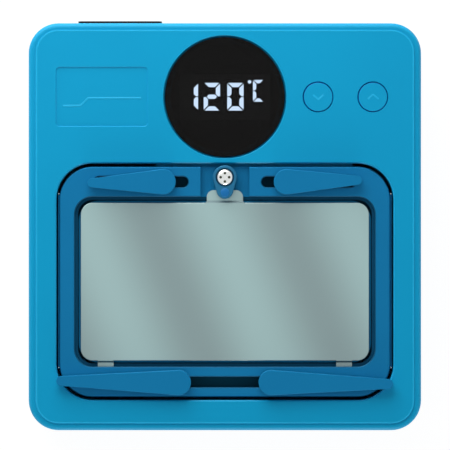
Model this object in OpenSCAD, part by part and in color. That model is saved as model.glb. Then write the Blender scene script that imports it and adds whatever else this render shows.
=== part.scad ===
// Bench preheater for small circuit boards.
// x runs to the right, y to the rear and z up. The origin is under the middle of the case, at the
// level that the feet stand on. All lengths are in millimetres and all angles in degrees.

/* [Case] */
// Width of the case over its sides
case_w = 102; // [98:0.5:130]
// Depth of the case, from its front to its rear wall
case_d = 105.8; // [105:0.1:135]
// Height of the two shells together, without the feet
case_h = 25; // [24:0.5:40]
// Corner radius of the case in plan
corner_r = 7.8; // [7:0.1:10]
// Wall of the moulded shells
wall_t = 2.2; // [1.8:0.1:2.6]
// Roof of the cover, measured from the raised panel
roof_t = 2.2; // [1.8:0.1:2.6]
// Floor of the base
floor_t = 2; // [1.6:0.1:3]
// Height of the base below the seam
base_h = 5; // [4.5:0.1:6]
// Rounding of the cover's top edge
cover_edge_r = 1.2; // [0.8:0.1:1.7]
// Rounding of the base's lower edge
base_edge_r = 1.2; // [0.6:0.1:2]
// Distance from the case's side to the raised panel
panel_inset = 1.82; // [1.8:0.02:3]
// Height of the raised panel above the band round it
panel_rise = 0.3; // [0.25:0.05:0.5]
// Rounding of the raised panel's edge
panel_edge_r = 0.2; // [0.1:0.05:0.25]
// Depth and height of the shadow line at the seam of the shells
seam_line = 0.3; // [0.2:0.05:0.5]

/* [Feet] */
// Radius of a rubber foot
foot_r = 4.5; // [3.5:0.1:5]
// Height that the feet hold the case off the bench
foot_h = 2; // [1.5:0.1:4]
// Depth of the seat that a foot is glued into
foot_seat = 0.8; // [0.5:0.1:1]
// Distance from the case's side to the middle of a foot
foot_in_x = 19; // [17:0.5:24]
// Distance from the case's front or rear to the middle of a foot
foot_in_y = 8.4; // [7.5:0.1:10]

/* [Heat plate] */
// Width of the plate that the board lies on
plate_w = 74.9; // [60:0.1:78]
// Depth of the plate
plate_d = 41.06; // [34:0.02:46]
// Thickness of the plate's sheet
plate_t = 1; // [0.8:0.1:1.4]
// Corner radius of the plate
plate_r = 3.07; // [2:0.01:4]
// Rounding of the plate's upper edge
plate_edge_r = 0.2; // [0.1:0.05:0.3]
// Distance of the plate's face below the tray's face
plate_sink = 0.4; // [0.2:0.1:0.8]
// Half the width of the plate's rear ear
ear_half_w = 4.7; // [4:0.1:5.6]
// Reach of the ear past the plate's rear edge
ear_reach = 3.27; // [3:0.01:3.4]
// Corner radius of the ear
ear_r = 1.8; // [1:0.1:2.4]
// Radius of the flare where the ear leaves the plate
flare_r = 0.6; // [0.4:0.05:0.7]
// Step from the plate down to its ear
ear_drop = 0.3; // [0.2:0.05:0.5]
// Width of each front tab
tab_w = 4.1; // [3:0.1:6]
// Distance from the plate's middle to the middle of a tab
tab_x = 31; // [20:0.1:32]
// Step from the plate down to its tabs
tab_drop = 0.9; // [0.8:0.05:1.2]
// Reach of a tab under the tray's lip
tab_hook = 1.1; // [0.6:0.1:1.4]

/* [Heater tray] */
// Width of the tray
tray_w = 85.8; // [84:0.1:90]
// Depth of the tray
tray_d = 59.75; // [59:0.05:63]
// Thickness of the tray's frame
tray_t = 3; // [2.8:0.1:4]
// Corner radius of the tray
tray_r = 8.5; // [6:0.1:9]
// Distance from the case's front to the tray
tray_front = 8.74; // [7:0.02:12]
// Distance of the tray's face below the cover's panel
tray_sink = 0.4; // [0.2:0.1:0.8]
// Rounding of the tray's upper edges
tray_edge_r = 0.4; // [0.2:0.05:0.6]
// Break of the edges of the tray's opening and slots
tray_break = 0.25; // [0.1:0.05:0.3]
// Corner radius of the tray's opening
opening_r = 4.65; // [4:0.05:6]
// Width of the ledge round the opening
ledge_w = 0.75; // [0.5:0.05:0.9]
// Half the width of the pocket round the clip
pocket_half_w = 6.35; // [6:0.05:7]
// Distance from the tray's rear edge to the middle of the rear slots
rear_slot_in = 3.95; // [3.5:0.05:4.2]
// Distance from the tray's front edge to the middle of the front slot
front_slot_in = 3.8; // [3.4:0.05:4.2]
// Width of the slots
slot_w = 2.78; // [2.4:0.02:3]
// Distance from the middle to the inner end of each rear slot
rear_slot_near = 9.53; // [9:0.01:12]
// Distance from the middle to the outer end of each rear slot
rear_slot_far = 33.95; // [30:0.05:34.5]
// Distance from the middle to each end of the front slot
front_slot_far = 35; // [30:0.1:36]
// Distance from the tray's middle to its legs
leg_x = 38; // [37.6:0.1:38.4]
// Distance from the tray's rear edge to the rear legs
leg_rear_in = 4.7; // [4.4:0.1:5]
// Distance from the tray's front edge to the front legs
leg_front_in = 7.3; // [7:0.1:7.8]
// Radius of a leg
leg_r = 2.6; // [2.4:0.1:2.8]
// Length of a leg below the frame
leg_h = 7.1; // [6.6:0.1:8]

/* [Arms] */
// Thickness of an arm
arm_t = 2; // [1.6:0.1:2.6]
// Gap between an arm and the cover's panel
arm_lift = 0.3; // [0.25:0.05:0.6]
// Rounding of an arm's upper edge
arm_edge_r = 0.4; // [0.2:0.05:0.6]
// Radius of a rear arm's pivot end
rear_arm_r = 3.3; // [3:0.05:3.6]
// Radius of a rear arm's tip
rear_tip_r = 1.3; // [1:0.05:1.6]
// Length of a rear arm from its pivot to the middle of its tip
rear_arm_l = 18.5; // [15:0.1:22]
// Distance from the middle to a rear arm's pivot as set
rear_arm_x = 16; // [13:0.1:24]
// Radius of a front arm's pivot end
front_arm_r = 3.25; // [3:0.05:3.6]
// Radius of a front arm's tip
front_tip_r = 1.25; // [1:0.05:1.6]
// Length of a front arm from its pivot to the middle of its tip
front_arm_l = 30.35; // [24:0.05:34]
// Distance from the middle to a front arm's pivot as set
front_arm_x = 12; // [8:0.1:20]
// Turn of each arm as set: rear left, rear right, front left, front right
arm_turns = [1, 1.2, -0.8, -0.7];
// Radius of the pivot stud
stud_r = 0.8; // [0.7:0.05:0.9]
// Radius of the slider's upper flange
slider_top_r = 2.6; // [2.4:0.05:2.8]
// Length of the slider's web along the slot
slider_web_l = 4.2; // [3.6:0.1:4.6]
// Length and width of the slider's lower flange
slider_foot = [5, 4.6];
// Thickness of the slider's lower flange
slider_foot_t = 0.8; // [0.6:0.1:1]
// Radius of the retaining ring
ring_r = 1.5; // [1.3:0.1:1.8]
// Thickness of the retaining ring
ring_t = 0.45; // [0.4:0.05:0.6]

/* [Clip] */
// Distance from the tray's rear edge to the clip's screw
clip_in = 2.76; // [2.6:0.02:3]
// Radius of the clip round its screw
clip_r = 3.2; // [3:0.05:3.4]
// Radius of the clip's tip
clip_tip_r = 1.7; // [1.4:0.05:1.8]
// Length of the clip from its screw to the middle of its tip
clip_l = 4; // [3.9:0.01:4.3]
// Thickness of the clip over the ear
clip_t = 2; // [1.6:0.1:2.4]
// Rounding of the clip's upper edge
clip_edge_r = 0.3; // [0.2:0.05:0.5]
// Radius of the thumb pip at the tip
pip_r = 1.25; // [0.8:0.05:1.35]
// Height of the thumb pip
pip_h = 0.25; // [0.2:0.05:0.5]
// Radius of the recess that the screw's head lies in
clip_recess_r = 2.4; // [2.3:0.05:2.6]
// Depth of that recess
clip_recess_d = 0.9; // [0.5:0.1:1.1]

/* [Display] */
// Radius of the round window in the cover
lens_hole_r = 15.95; // [14:0.05:17]
// Distance from the case's rear to the middle of the window
lens_in = 19.23; // [18:0.01:24]
// Thickness of the lens
lens_t = 1.5; // [1.1:0.1:1.5]
// Thickness of the black mask under the lens
mask_t = 0.1; // [0.1:0.05:0.2]
// Width and depth of the mask's window
mask_window = [23.6, 12];
// Width of the rim that the lens lies on
lens_rim = 1.55; // [1:0.05:2]
// Width, depth and height of the digit block
block_size = [24.8, 13.2, 6.5];
// Height of a large digit
digit_h = 7.2; // [6:0.1:8]
// Width of a large digit
digit_w = 4.25; // [3.5:0.05:5]
// Width of a segment in a large digit
segment_w = 1.1; // [0.8:0.05:1.3]
// Height of the small letter
letter_h = 5.65; // [4:0.05:6]
// Width of the small letter
letter_w = 2.8; // [2:0.05:3.2]
// Width of a segment in the small letter
letter_segment_w = 0.85; // [0.6:0.05:1]
// Radius of the degree dot
dot_r = 0.45; // [0.3:0.05:0.6]

/* [Keys] */
// Radius of a key's hole in the cover
key_hole_r = 3.94; // [3.5:0.02:4.5]
// Gap all round a key
key_gap = 0.35; // [0.2:0.05:0.5]
// Distance from the middle to the first key
key_x = 24.2; // [23.5:0.1:26]
// Pitch of the two keys
key_pitch = 14.2; // [13:0.1:15]
// Height that the keys stand above the panel
key_proud = 0.1; // [0.05:0.05:0.2]
// Travel of a key
key_travel = 0.35; // [0.25:0.05:0.4]
// Half the width and the height of a key's chevron
chevron = [1.42, 1.4];
// Width of a chevron's stroke
chevron_w = 0.38; // [0.25:0.01:0.5]

/* [Name field] */
// Width and depth of the blank field pressed into the cover
field_size = [23.7, 15.3];
// Distance from the case's left side to the field
field_in_x = 7.2; // [6:0.1:9]
// Distance from the case's rear to the field
field_in_y = 11.5; // [10:0.1:13]
// Corner radius of the field
field_r = 0.9; // [0.5:0.1:2]
// Depth of the field
field_d = 0.25; // [0.15:0.05:0.4]

/* [Mains inlet] */
// Width, depth and height of the inlet's flange
flange_size = [21.8, 1.85, 14.2];
// Depth of the seat for the flange in the rear wall
flange_seat = 1.1; // [0.8:0.1:1.2]
// Distance from the middle of the case to the middle of the inlet
inlet_x = 27.4; // [26:0.1:30]
// Height of the flange above the seam
inlet_lift = 0.9; // [0.6:0.1:2]
// Width, depth and height of the inlet's body behind the flange
inlet_body = [20.2, 15.5, 12.2];
// Radius of each round side of the inlet's mouth
mouth_r = 3.9; // [3.8:0.05:4.1]
// Height of the mouth's waist
mouth_waist = 6.4; // [6:0.1:7]
// Depth of the mouth
mouth_d = 12; // [11:0.5:13]
// Radius of a contact pin
contact_r = 1.2; // [1.1:0.05:1.3]
// Distance between the contact pins
contact_pitch = 8.6; // [8.4:0.1:8.8]

/* [Heater] */
// Width and depth of the heater block's platform
heater_size = [70, 36];
// Thickness of the heater block's lugs
lug_t = 2; // [1.6:0.1:2.4]
// Width of a lug
lug_w = 7; // [6:0.5:9]
// Distance from the block's middle to its lugs, front and rear
lug_y = 12; // [9:0.5:13]
// Height of the washers between the lugs and the tray
lug_washer_h = 1.6; // [1.2:0.1:2]
// Width and thickness of each ceramic heating strip
strip_size = [12, 1.5];
// Distance from the block's middle to each strip
strip_y = 9; // [8:0.5:10]
// Thickness of the clamp plate
clamp_t = 1; // [0.8:0.1:1.2]
// Thickness of the heat shield
shield_t = 0.8; // [0.6:0.1:1]
// Height of the ceramic spacers
spacer_h = 3.7; // [3:0.1:5]
// Radius of the temperature probe
probe_r = 1.5; // [1.2:0.1:1.6]
// Length of the temperature probe
probe_l = 22; // [15:1:28]

/* [Boards] */
// Thickness of the circuit boards
board_t = 1.6; // [1:0.2:1.6]
// Height of the power board above the floor
power_board_lift = 3; // [2:0.5:4]
// Width and depth of the power board
power_board_size = [52, 26.5];
// Distance from the case's rear to the power board
power_board_in = 5.4; // [5:0.1:7]

/* [Screws] */
// Radius of the case screws' shanks
case_screw_r = 1.4; // [1.2:0.1:1.6]
// Radius of the tray screws' shanks
tray_screw_r = 1.25; // [1:0.05:1.4]
// Radius of the small screws' shanks
small_screw_r = 1; // [0.8:0.1:1.1]
// Head radius as a share of the shank radius
head_r_share = 1.9;
// Head height as a share of the shank radius
head_h_share = 1.3;

/* [Fits] */
// Gap between the tray and the cover
tray_gap = 0.88; // [0.6:0.02:1.2]
// Gap between the heat plate and the tray's ledge
plate_gap = 0.8; // [0.5:0.05:1]
// Gap between a pin and the bore that it turns in
turn_gap = 0.06; // [0.03:0.01:0.09]
// Gap between sliding faces
slide_gap = 0.05; // [0.03:0.01:0.09]
// Gap round parts that are only put together
seat_gap = 0.15; // [0.1:0.05:0.25]
// Gap between a screw's thread and its pilot hole
thread_gap = 0.02; // [0.01:0.01:0.05]

/* [Hidden] */
$fn = 64;

// Overrun of a cut past the face that it opens
over = 1;

// Levels of the case
seam_z = foot_h + base_h;
top_z = foot_h + case_h;
band_z = top_z - panel_rise;
roof_z = top_z - roof_t;
floor_z = foot_h + floor_t;

// Seam between the shells
seam_lip_h = 1.5;
seam_lip_t = 1;

// Screw bosses in the corners of the case
case_boss_r = 3;
case_boss_in = 6.35;
case_boss_sites = [for (x = [-1, 1], y = [-1, 1])
  [x * (case_w / 2 - case_boss_in), y * (case_d / 2 - case_boss_in)]];
case_web_t = 2.4;
case_screw_bite = 8;
foot_sites = [for (x = [-1, 1], y = [-1, 1])
  [x * (case_w / 2 - foot_in_x), y * (case_d / 2 - foot_in_y)]];

// Levels and places of the tray and the plate
tray_y = -case_d / 2 + tray_front + tray_d / 2;
tray_top = top_z - tray_sink;
tray_bottom = tray_top - tray_t;
plate_top = tray_top - plate_sink;
plate_bottom = plate_top - plate_t;
ear_top = plate_top - ear_drop;
pocket_z = plate_bottom - ear_drop;
ledge_z = plate_bottom - tab_drop;
lip_gap = 0.1;
lip_z = ledge_z + plate_t + lip_gap;
bend_l = 0.5;
window_w = tray_w + 2 * tray_gap;
window_d = tray_d + 2 * tray_gap;
window_r = tray_r + tray_gap;
window_break = 0.3;
hole_break = 0.15;
passage_w = plate_w + 2 * plate_gap;
passage_d = plate_d + 2 * plate_gap;
opening_w = passage_w + 2 * ledge_w;
opening_d = passage_d + 2 * ledge_w;
rear_slot_y = tray_y + tray_d / 2 - rear_slot_in;
front_slot_y = tray_y - tray_d / 2 + front_slot_in;
leg_bottom = tray_bottom - leg_h;
leg_sites = [for (x = [-1, 1], y = [tray_d / 2 - leg_rear_in, -tray_d / 2 + leg_front_in])
  [x * leg_x, tray_y + y]];
skirt_t = 1.6;
skirt_h = 4.8;
rest_t = 1.9;
rest_reach = 0.65;
rest_ends = [-17.9, 33.2];

// Arms, sliders and rings
taper_blend = 0.01;
arm_bottom = top_z + arm_lift;
slider_top_t = arm_bottom - tray_top - 2 * slide_gap;
slider_foot_z = tray_bottom - slide_gap - slider_foot_t;
slider_foot_r = 0.5;
ring_z = slider_foot_z - slide_gap - ring_t;
groove_r = 0.5;
stud_end = 0.4;
stud_z = ring_z - slide_gap - stud_end;
stud_tip = 0.2;
stud_root = 0.6;
ring_mouth_w = 0.9;

// Clip and its screw
clip_y = tray_y + tray_d / 2 - clip_in;
clip_tip_z = ear_top + slide_gap;
clip_top = clip_tip_z + clip_t;
clip_hub_z = pocket_z + slide_gap;
clip_head_z = clip_top - clip_recess_d + slide_gap;
clip_head_r = 2.03;
clip_head_h = 1.35;
clip_boss_r = 2;
clip_boss_h = 2.4;
clip_bite = 5;

// Display
lens_y = case_d / 2 - lens_in;
lens_r = lens_hole_r - key_gap;
lens_z = top_z - lens_t;
rim_z = lens_z - mask_t;
block_gap = 0.3;
block_z = rim_z - block_gap - block_size[2];
digit_lift = 0.2;
digit_y = 0.15;
digit_xs = [-9.1, -3.38, 2.74];
digit_shapes = [[0, 1, 1, 0, 0, 0, 0], [1, 1, 0, 1, 1, 0, 1], [1, 1, 1, 1, 1, 1, 0]];
letter_at = [8.7, 1.53];
letter_shape = [1, 0, 0, 1, 1, 1, 0];
dot_at = [6.42, 3.87];
mitre_gap_share = 0.22;
display_board_z = block_z - board_t;
display_board_front = 10.8;
display_board_rear = 14.2;
display_board_right = 45;
display_board_left = 20.8;
display_board_step = 16.4;
display_board_step_y = -0.7;
board_boss_r = 2.2;
board_boss_sites = [[-18.4, -8.6], [-14.1, 12.1], [42.6, -8.6], [36, 12.1]];
board_screw_bite = 4.5;

// Keys and their switches
key_r = key_hole_r - key_gap;
key_xs = [key_x, key_x + key_pitch];
key_top = top_z + key_proud;
key_dish = 0.08;
key_break = 0.2;
key_flange_w = 1.1;
key_flange_t = 0.7;
key_flange_top = roof_z - 2 * slide_gap;
key_flange_z = key_flange_top - key_flange_t;
collar_t = 1.1;
collar_h = 2.2;
key_stem_r = 1.5;
switch_size = [6, 6, 3.5];
button_r = 1.6;
button_up = 1.55;
button_down = 1.2;
button_top = block_z + switch_size[2] + button_up;
well_spare = 0.3;

// Mains inlet
inlet_z = seam_z + inlet_lift + flange_size[2] / 2;
inlet_face = case_d / 2 - flange_seat + flange_size[1];
inlet_back = case_d / 2 - flange_seat - inlet_body[1];
flange_r = 1.2;
flange_gap = 0.12;
barb_l = 5;
barb_out = 0.7;
barb_h = 5;
contact_in = 1.2;
contact_tail = 4;
contact_tail_size = [0.8, 3.2];

// Heater
heater_bottom = tray_bottom - lug_washer_h - lug_t;
heater_r = 2;
lug_x = (passage_w / 2 + ledge_w + tray_w / 2) / 2;
lug_sites = [for (x = [-1, 1], y = [-1, 1]) [x * lug_x, tray_y + y * lug_y]];
lug_washer_r = 1.9;
lug_bite = 1.8;
strip_inset = 4;
strip_l = heater_size[0] - 2 * strip_inset;
clamp_size = [66, 32];
clamp_rib_w = 1.2;
clamp_xs = [-28, -9, 9, 28];
clamp_bite = 3.4;
probe_x = 18.5;
probe_drop = 1.75;
probe_out = 2.4;
fuse_body = [8, 6, 2.2];
fuse_y = 7;
shield_size = [84, 56];
shield_r = 6;
spacer_r = 3.2;
tray_boss_top = leg_bottom - shield_t - spacer_h;
tray_boss_r = 4.4;
tray_web_t = 2;
tray_screw_bite = 4;

// Power board and what stands on it
power_board_z = floor_z + power_board_lift;
power_top = power_board_z + board_t;
power_board_x = 14;
power_board_y = case_d / 2 - power_board_in - power_board_size[1] / 2;
power_post_in = 3;
power_post_r = 2.6;
power_sites = [for (x = [-1, 1], y = [-1, 1])
  [power_board_x + x * (power_board_size[0] / 2 - power_post_in),
   power_board_y + y * (power_board_size[1] / 2 - power_post_in)]];
power_screw_bite = 2;
transformer_size = [15, 13, 7];
transformer_at = [-9, 3];
capacitor_size = [5, 12, 7];
capacitor_edge_r = 0.5;
capacitor_at = [-22, 1];
cartridge_r = 2.6;
cartridge_l = 20;
cartridge_at = [-7, -8];
sink_size = [20, 10, 6.6];
sink_at = [9, 6];
sink_base_t = 1.4;
sink_fin_t = 0.9;
sink_fins = 6;
triac_size = [10, 1.5, 6];
terminal_size = [12, 7, 7];
terminal_at = [13, -8.5];
terminal_ways = 3;
terminal_hole_r = 1.2;

// Vents in the floor
vent_size = [2, 16];
vent_pitch = 5;
vent_count = 9;
vent_ys = [-14, 35];

// A quarter of a disc, with its square corner at the origin.
module quarter(r) intersection() {
  circle(r);
  square(r);
}

// A rectangle with round corners, about the origin.
module round_rect(w, d, r) {
  square([w - 2 * r, d], center = true);
  square([w, d - 2 * r], center = true);
  for (x = [-1, 1], y = [-1, 1])
    scale([x, y]) translate([w / 2 - r, d / 2 - r]) quarter(r);
}

// A slot's outline, along x about the origin.
module slot_outline(l, w) {
  square([l - w, w], center = true);
  for (x = [-1, 1])
    scale([x, 1]) translate([l / 2 - w / 2, 0]) intersection() {
      circle(w / 2);
      translate([0, -w / 2]) square([w / 2, w]);
    }
}

// Half section of a slab: straight sides of height h with a rounded upper edge e, out to r.
module rounded_section(r, h, e) {
  polygon([[0, 0], [r, 0], [r, h - e], [r - e, h - e], [r - e, h], [0, h]]);
  translate([r - e, h - e]) quarter(e);
}

// Half section of a cut of height h whose upper edge is broken outwards by e.
module flared_section(r, h, e) {
  polygon([[0, 0], [r, 0], [r, h - e], [r + e, h], [r + e, h + over], [0, h + over]]);
}

// A half section carried round a rectangle with round corners.
module round_walk(w, d, r) {
  for (i = [0:3]) {
    side = i % 2 == 0 ? [w, d] : [d, w];
    rotate(90 * i) translate([side[0] / 2 - r, side[1] / 2 - r]) {
      rotate_extrude(angle = 90) children();
      rotate([90, 0, 0]) linear_extrude(side[1] - 2 * r) children();
    }
  }
}

// A slab with round corners and a rounded upper edge.
module soft_slab(w, d, r, h, e) {
  translate([r - w / 2, r - d / 2, 0]) cube([w - 2 * r, d - 2 * r, h]);
  round_walk(w, d, r) rounded_section(r, h, e);
}

// A cut through a face, h deep, with a broken edge at the face.
module flared_cut(w, d, r, h, e) {
  translate([r - w / 2, r - d / 2, 0]) cube([w - 2 * r, d - 2 * r, h + over]);
  round_walk(w, d, r) flared_section(r, h, e);
}

// A slot through a face, along x, with a broken edge at the face.
module flared_slot(l, w, h, e) {
  for (i = [0, 1])
    rotate(180 * i) translate([l / 2 - w / 2, 0, 0]) {
      rotate(-90) rotate_extrude(angle = 180) flared_section(w / 2, h, e);
      rotate([90, 0, -90]) linear_extrude(l - w) flared_section(w / 2, h, e);
    }
}

// Half section of a chamfered slab: straight sides of height h with the upper edge cut by e.
module chamfered_section(r, h, e) polygon([[0, 0], [r, 0], [r, h - e], [r - e, h], [0, h]]);

// A tapered arm of thickness h: radius r1 at the origin, r2 at a distance l along x. Its sides lie a
// hair inside the tangents of its ends.
module taper_arm(r1, r2, l, h, e) {
  a = acos((r1 - r2) / l);
  out = [cos(a), sin(a)];
  band = 3 * e;
  p1 = (r1 - 2 * e) * out;
  p2 = (r2 - 2 * e) * out;
  rotate_extrude() chamfered_section(r1, h, e);
  translate([l, 0, 0]) rotate_extrude() chamfered_section(r2, h, e);
  linear_extrude(h) polygon([p1, [l, 0] + p2, [l + p2[0], -p2[1]], [p1[0], -p1[1]]]);
  for (s = [0, 1])
    mirror([0, s, 0]) translate((r1 - band - taper_blend) * out) rotate([90, 0, a])
      linear_extrude(l * sin(a)) chamfered_section(band, h, e);
}

// A pan head with a cross recess, its underside at z = 0.
module pan_head(r, h) {
  edge = h / 3;
  arm_w = r / 3;
  reach = r * 1.1;
  difference() {
    rotate_extrude() rounded_section(r, h, edge);
    for (a = [0, 90])
      rotate(a) translate([-reach / 2, -arm_w / 2, h / 2]) cube([reach, arm_w, h]);
  }
}

// A screw with its shank up from z = 0 and its head below it.
module screw_up(r, l) {
  cylinder(r = r, h = l);
  mirror([0, 0, 1]) pan_head(r * head_r_share, r * head_h_share);
}

// A screw with its shank down from z = 0 and its head above it.
module screw_down(r, l) mirror([0, 0, 1]) screw_up(r, l);

// Case

module case_outline(inset) round_rect(case_w - 2 * inset, case_d - 2 * inset, corner_r - inset);

module window_skirt() difference() {
  round_rect(window_w + 2 * skirt_t, window_d + 2 * skirt_t, window_r + skirt_t);
  round_rect(window_w, window_d, window_r);
}

module name_field() {
  w = field_size[0];
  d = field_size[1];
  translate([-case_w / 2 + field_in_x + w / 2, case_d / 2 - field_in_y - d / 2, top_z - field_d])
    flared_cut(w, d, field_r, field_d, field_d / 2);
}

// The shadow line round the cover's lower edge.
module seam_rebate() translate([0, 0, seam_z - over]) linear_extrude(seam_line + over) difference() {
  case_outline(-over);
  case_outline(seam_line);
}

module inlet_cutouts() {
  translate([-inlet_x, case_d / 2, inlet_z]) rotate([90, 0, 0]) {
    translate([0, 0, -over]) linear_extrude(flange_seat + over)
      round_rect(flange_size[0] + 2 * flange_gap, flange_size[2] + 2 * flange_gap,
        flange_r + flange_gap);
    translate([0, 0, -over]) linear_extrude(wall_t + 2 * over)
      square([inlet_body[0] + 2 * flange_gap, inlet_body[2] + 2 * flange_gap], center = true);
  }
}

module top_cover() color("#1a9dcc") difference() {
  union() {
    difference() {
      union() {
        translate([0, 0, seam_z]) soft_slab(case_w, case_d, corner_r, band_z - seam_z, cover_edge_r);
        translate([0, 0, band_z]) soft_slab(case_w - 2 * panel_inset, case_d - 2 * panel_inset,
          corner_r - panel_inset, panel_rise, panel_edge_r);
      }
      translate([0, 0, seam_z - over]) linear_extrude(roof_z - seam_z + over) case_outline(wall_t);
    }
    translate([0, tray_y, roof_z - skirt_h]) linear_extrude(skirt_h) window_skirt();
    tray_rest();
    for (p = case_boss_sites)
      translate([p[0], p[1], seam_z]) cylinder(r = case_boss_r, h = roof_z - seam_z);
    for (p = board_boss_sites)
      translate([p[0], lens_y + p[1], block_z]) cylinder(r = board_boss_r, h = roof_z - block_z);
    for (x = key_xs)
      translate([x, lens_y, roof_z - collar_h])
        cylinder(r = key_r + key_flange_w + slide_gap + collar_t, h = collar_h);
  }
  translate([0, tray_y, roof_z - over])
    flared_cut(window_w, window_d, window_r, roof_t + over, window_break);
  translate([0, lens_y, rim_z])
    rotate_extrude() flared_section(lens_hole_r, top_z - rim_z, hole_break);
  translate([0, lens_y, roof_z - over]) cylinder(r = lens_r - lens_rim, h = roof_t + over);
  translate([0, lens_y, roof_z - over]) linear_extrude(rim_z - roof_z + over)
    square([block_size[0], block_size[1]], center = true);
  for (x = key_xs) {
    translate([x, lens_y, roof_z - over])
      rotate_extrude() flared_section(key_hole_r, roof_t + over, hole_break);
    translate([x, lens_y, roof_z - collar_h - over])
      cylinder(r = key_r + key_flange_w + slide_gap, h = collar_h + over);
  }
  for (p = case_boss_sites)
    translate([p[0], p[1], seam_z - over])
      cylinder(r = case_screw_r + thread_gap, h = case_screw_bite + 2 * over);
  for (p = board_boss_sites)
    translate([p[0], lens_y + p[1], block_z - over])
      cylinder(r = small_screw_r + thread_gap, h = board_screw_bite + over);
  name_field();
  seam_rebate();
  inlet_cutouts();
}

// A rest under the rear edge of the tray, on the window's skirt.
module tray_rest() {
  y = tray_y + window_d / 2;
  translate([rest_ends[0], y - tray_gap - rest_reach, tray_bottom - slide_gap - rest_t])
    cube([rest_ends[1] - rest_ends[0], tray_gap + rest_reach + skirt_t / 2, rest_t]);
}

module bottom_case() color("#1787b4") difference() {
  union() {
    difference() {
      translate([0, 0, seam_z]) mirror([0, 0, 1])
        soft_slab(case_w, case_d, corner_r, base_h, base_edge_r);
      translate([0, 0, floor_z]) linear_extrude(base_h) case_outline(wall_t);
    }
    seam_lip();
    for (p = case_boss_sites)
      translate([p[0], p[1], floor_z - floor_t / 2])
        cylinder(r = case_boss_r + seam_lip_t, h = seam_z - floor_z + floor_t / 2);
    for (p = leg_sites)
      translate([p[0], p[1], floor_z - floor_t / 2])
        cylinder(r = tray_boss_r, h = tray_boss_top - floor_z + floor_t / 2);
    for (p = power_sites)
      translate([p[0], p[1], floor_z - floor_t / 2])
        cylinder(r = power_post_r, h = power_board_z - floor_z + floor_t / 2);
  }
  for (p = case_boss_sites)
    translate([p[0], p[1], foot_h - over]) {
      cylinder(r = case_screw_r + seat_gap, h = base_h + 2 * over);
      cylinder(r = case_screw_r * head_r_share + seat_gap, h = base_h - case_web_t + over);
    }
  for (p = leg_sites)
    translate([p[0], p[1], foot_h - over]) {
      cylinder(r = tray_screw_r + seat_gap, h = tray_boss_top - foot_h + 2 * over);
      cylinder(r = tray_screw_r * head_r_share + seat_gap,
        h = tray_boss_top - tray_web_t - foot_h + over);
    }
  for (p = power_sites)
    translate([p[0], p[1], power_board_z - power_screw_bite - thread_gap])
      cylinder(r = small_screw_r + thread_gap, h = power_screw_bite + over);
  for (p = foot_sites)
    translate([p[0], p[1], foot_h - over]) cylinder(r = foot_r + slide_gap, h = foot_seat + over);
  for (y = vent_ys, i = [0:vent_count - 1])
    translate([(i - (vent_count - 1) / 2) * vent_pitch, y, foot_h - over])
      linear_extrude(floor_t + 2 * over) rotate(90) slot_outline(vent_size[1], vent_size[0]);
}

// The lip that stands up inside the cover's wall, cut away round the cover's bosses.
module seam_lip() difference() {
  translate([0, 0, seam_z - over]) linear_extrude(seam_lip_h + over) difference() {
    case_outline(wall_t + seat_gap);
    case_outline(wall_t + seat_gap + seam_lip_t);
  }
  for (p = case_boss_sites)
    translate([p[0], p[1], seam_z]) cylinder(r = case_boss_r + 2 * seat_gap, h = seam_lip_h + over);
}

module case_screws() color("#8d9296")
  for (p = case_boss_sites)
    translate([p[0], p[1], seam_z - case_web_t])
      screw_up(case_screw_r, case_web_t + case_screw_bite);

module rubber_feet() color("#202224")
  for (p = foot_sites)
    translate([p[0], p[1], foot_h + foot_seat]) mirror([0, 0, 1])
      rotate_extrude() rounded_section(foot_r, foot_h + foot_seat, foot_h / 3);

// Display

module display_lens() color("#18181a") translate([0, lens_y, lens_z])
  rotate_extrude() polygon([[0, 0], [lens_r, 0], [lens_r, lens_t - hole_break],
    [lens_r - hole_break, lens_t], [0, lens_t]]);

module display_mask() color("#101012") translate([0, lens_y, rim_z]) linear_extrude(mask_t)
  difference() {
    circle(lens_r - slide_gap);
    intersection() {
      square(mask_window, center = true);
      circle(lens_r - lens_rim);
    }
  }

module display_block() color("#26282b")
  translate([-block_size[0] / 2, lens_y - block_size[1] / 2, block_z]) cube(block_size);

// The seven segments of a digit of width w and height h, with mitred ends. s is a segment's width
// and on lists the lit ones: top, upper right, lower right, bottom, lower left, upper left, middle.
module digit(w, h, s, on) {
  k = s * mitre_gap_share;
  x = w / 2;
  y = h / 2;
  level = [[k - x, y], [x - k, y], [x - s - k, y - s], [s + k - x, y - s]];
  upright = [[x, y - k], [x, k / 2], [x - s / 2, k / 2], [x - s, s / 2 + k / 2], [x - s, y - s - k]];
  across = [[s / 2 + k - x, 0], [s + k - x, s / 2], [x - s - k, s / 2], [x - s / 2 - k, 0],
    [x - s - k, -s / 2], [s + k - x, -s / 2]];
  if (on[0] == 1) polygon(level);
  if (on[1] == 1) polygon(upright);
  if (on[2] == 1) scale([1, -1]) polygon(upright);
  if (on[3] == 1) scale([1, -1]) polygon(level);
  if (on[4] == 1) scale([-1, -1]) polygon(upright);
  if (on[5] == 1) scale([-1, 1]) polygon(upright);
  if (on[6] == 1) polygon(across);
}

module display_digits() color("#cfe0f8")
  translate([0, lens_y + digit_y, rim_z - block_gap]) linear_extrude(digit_lift) {
    for (i = [0:2])
      translate([digit_xs[i], 0]) digit(digit_w, digit_h, segment_w, digit_shapes[i]);
    translate(letter_at) digit(letter_w, letter_h, letter_segment_w, letter_shape);
    translate(dot_at) circle(dot_r);
  }

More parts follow.
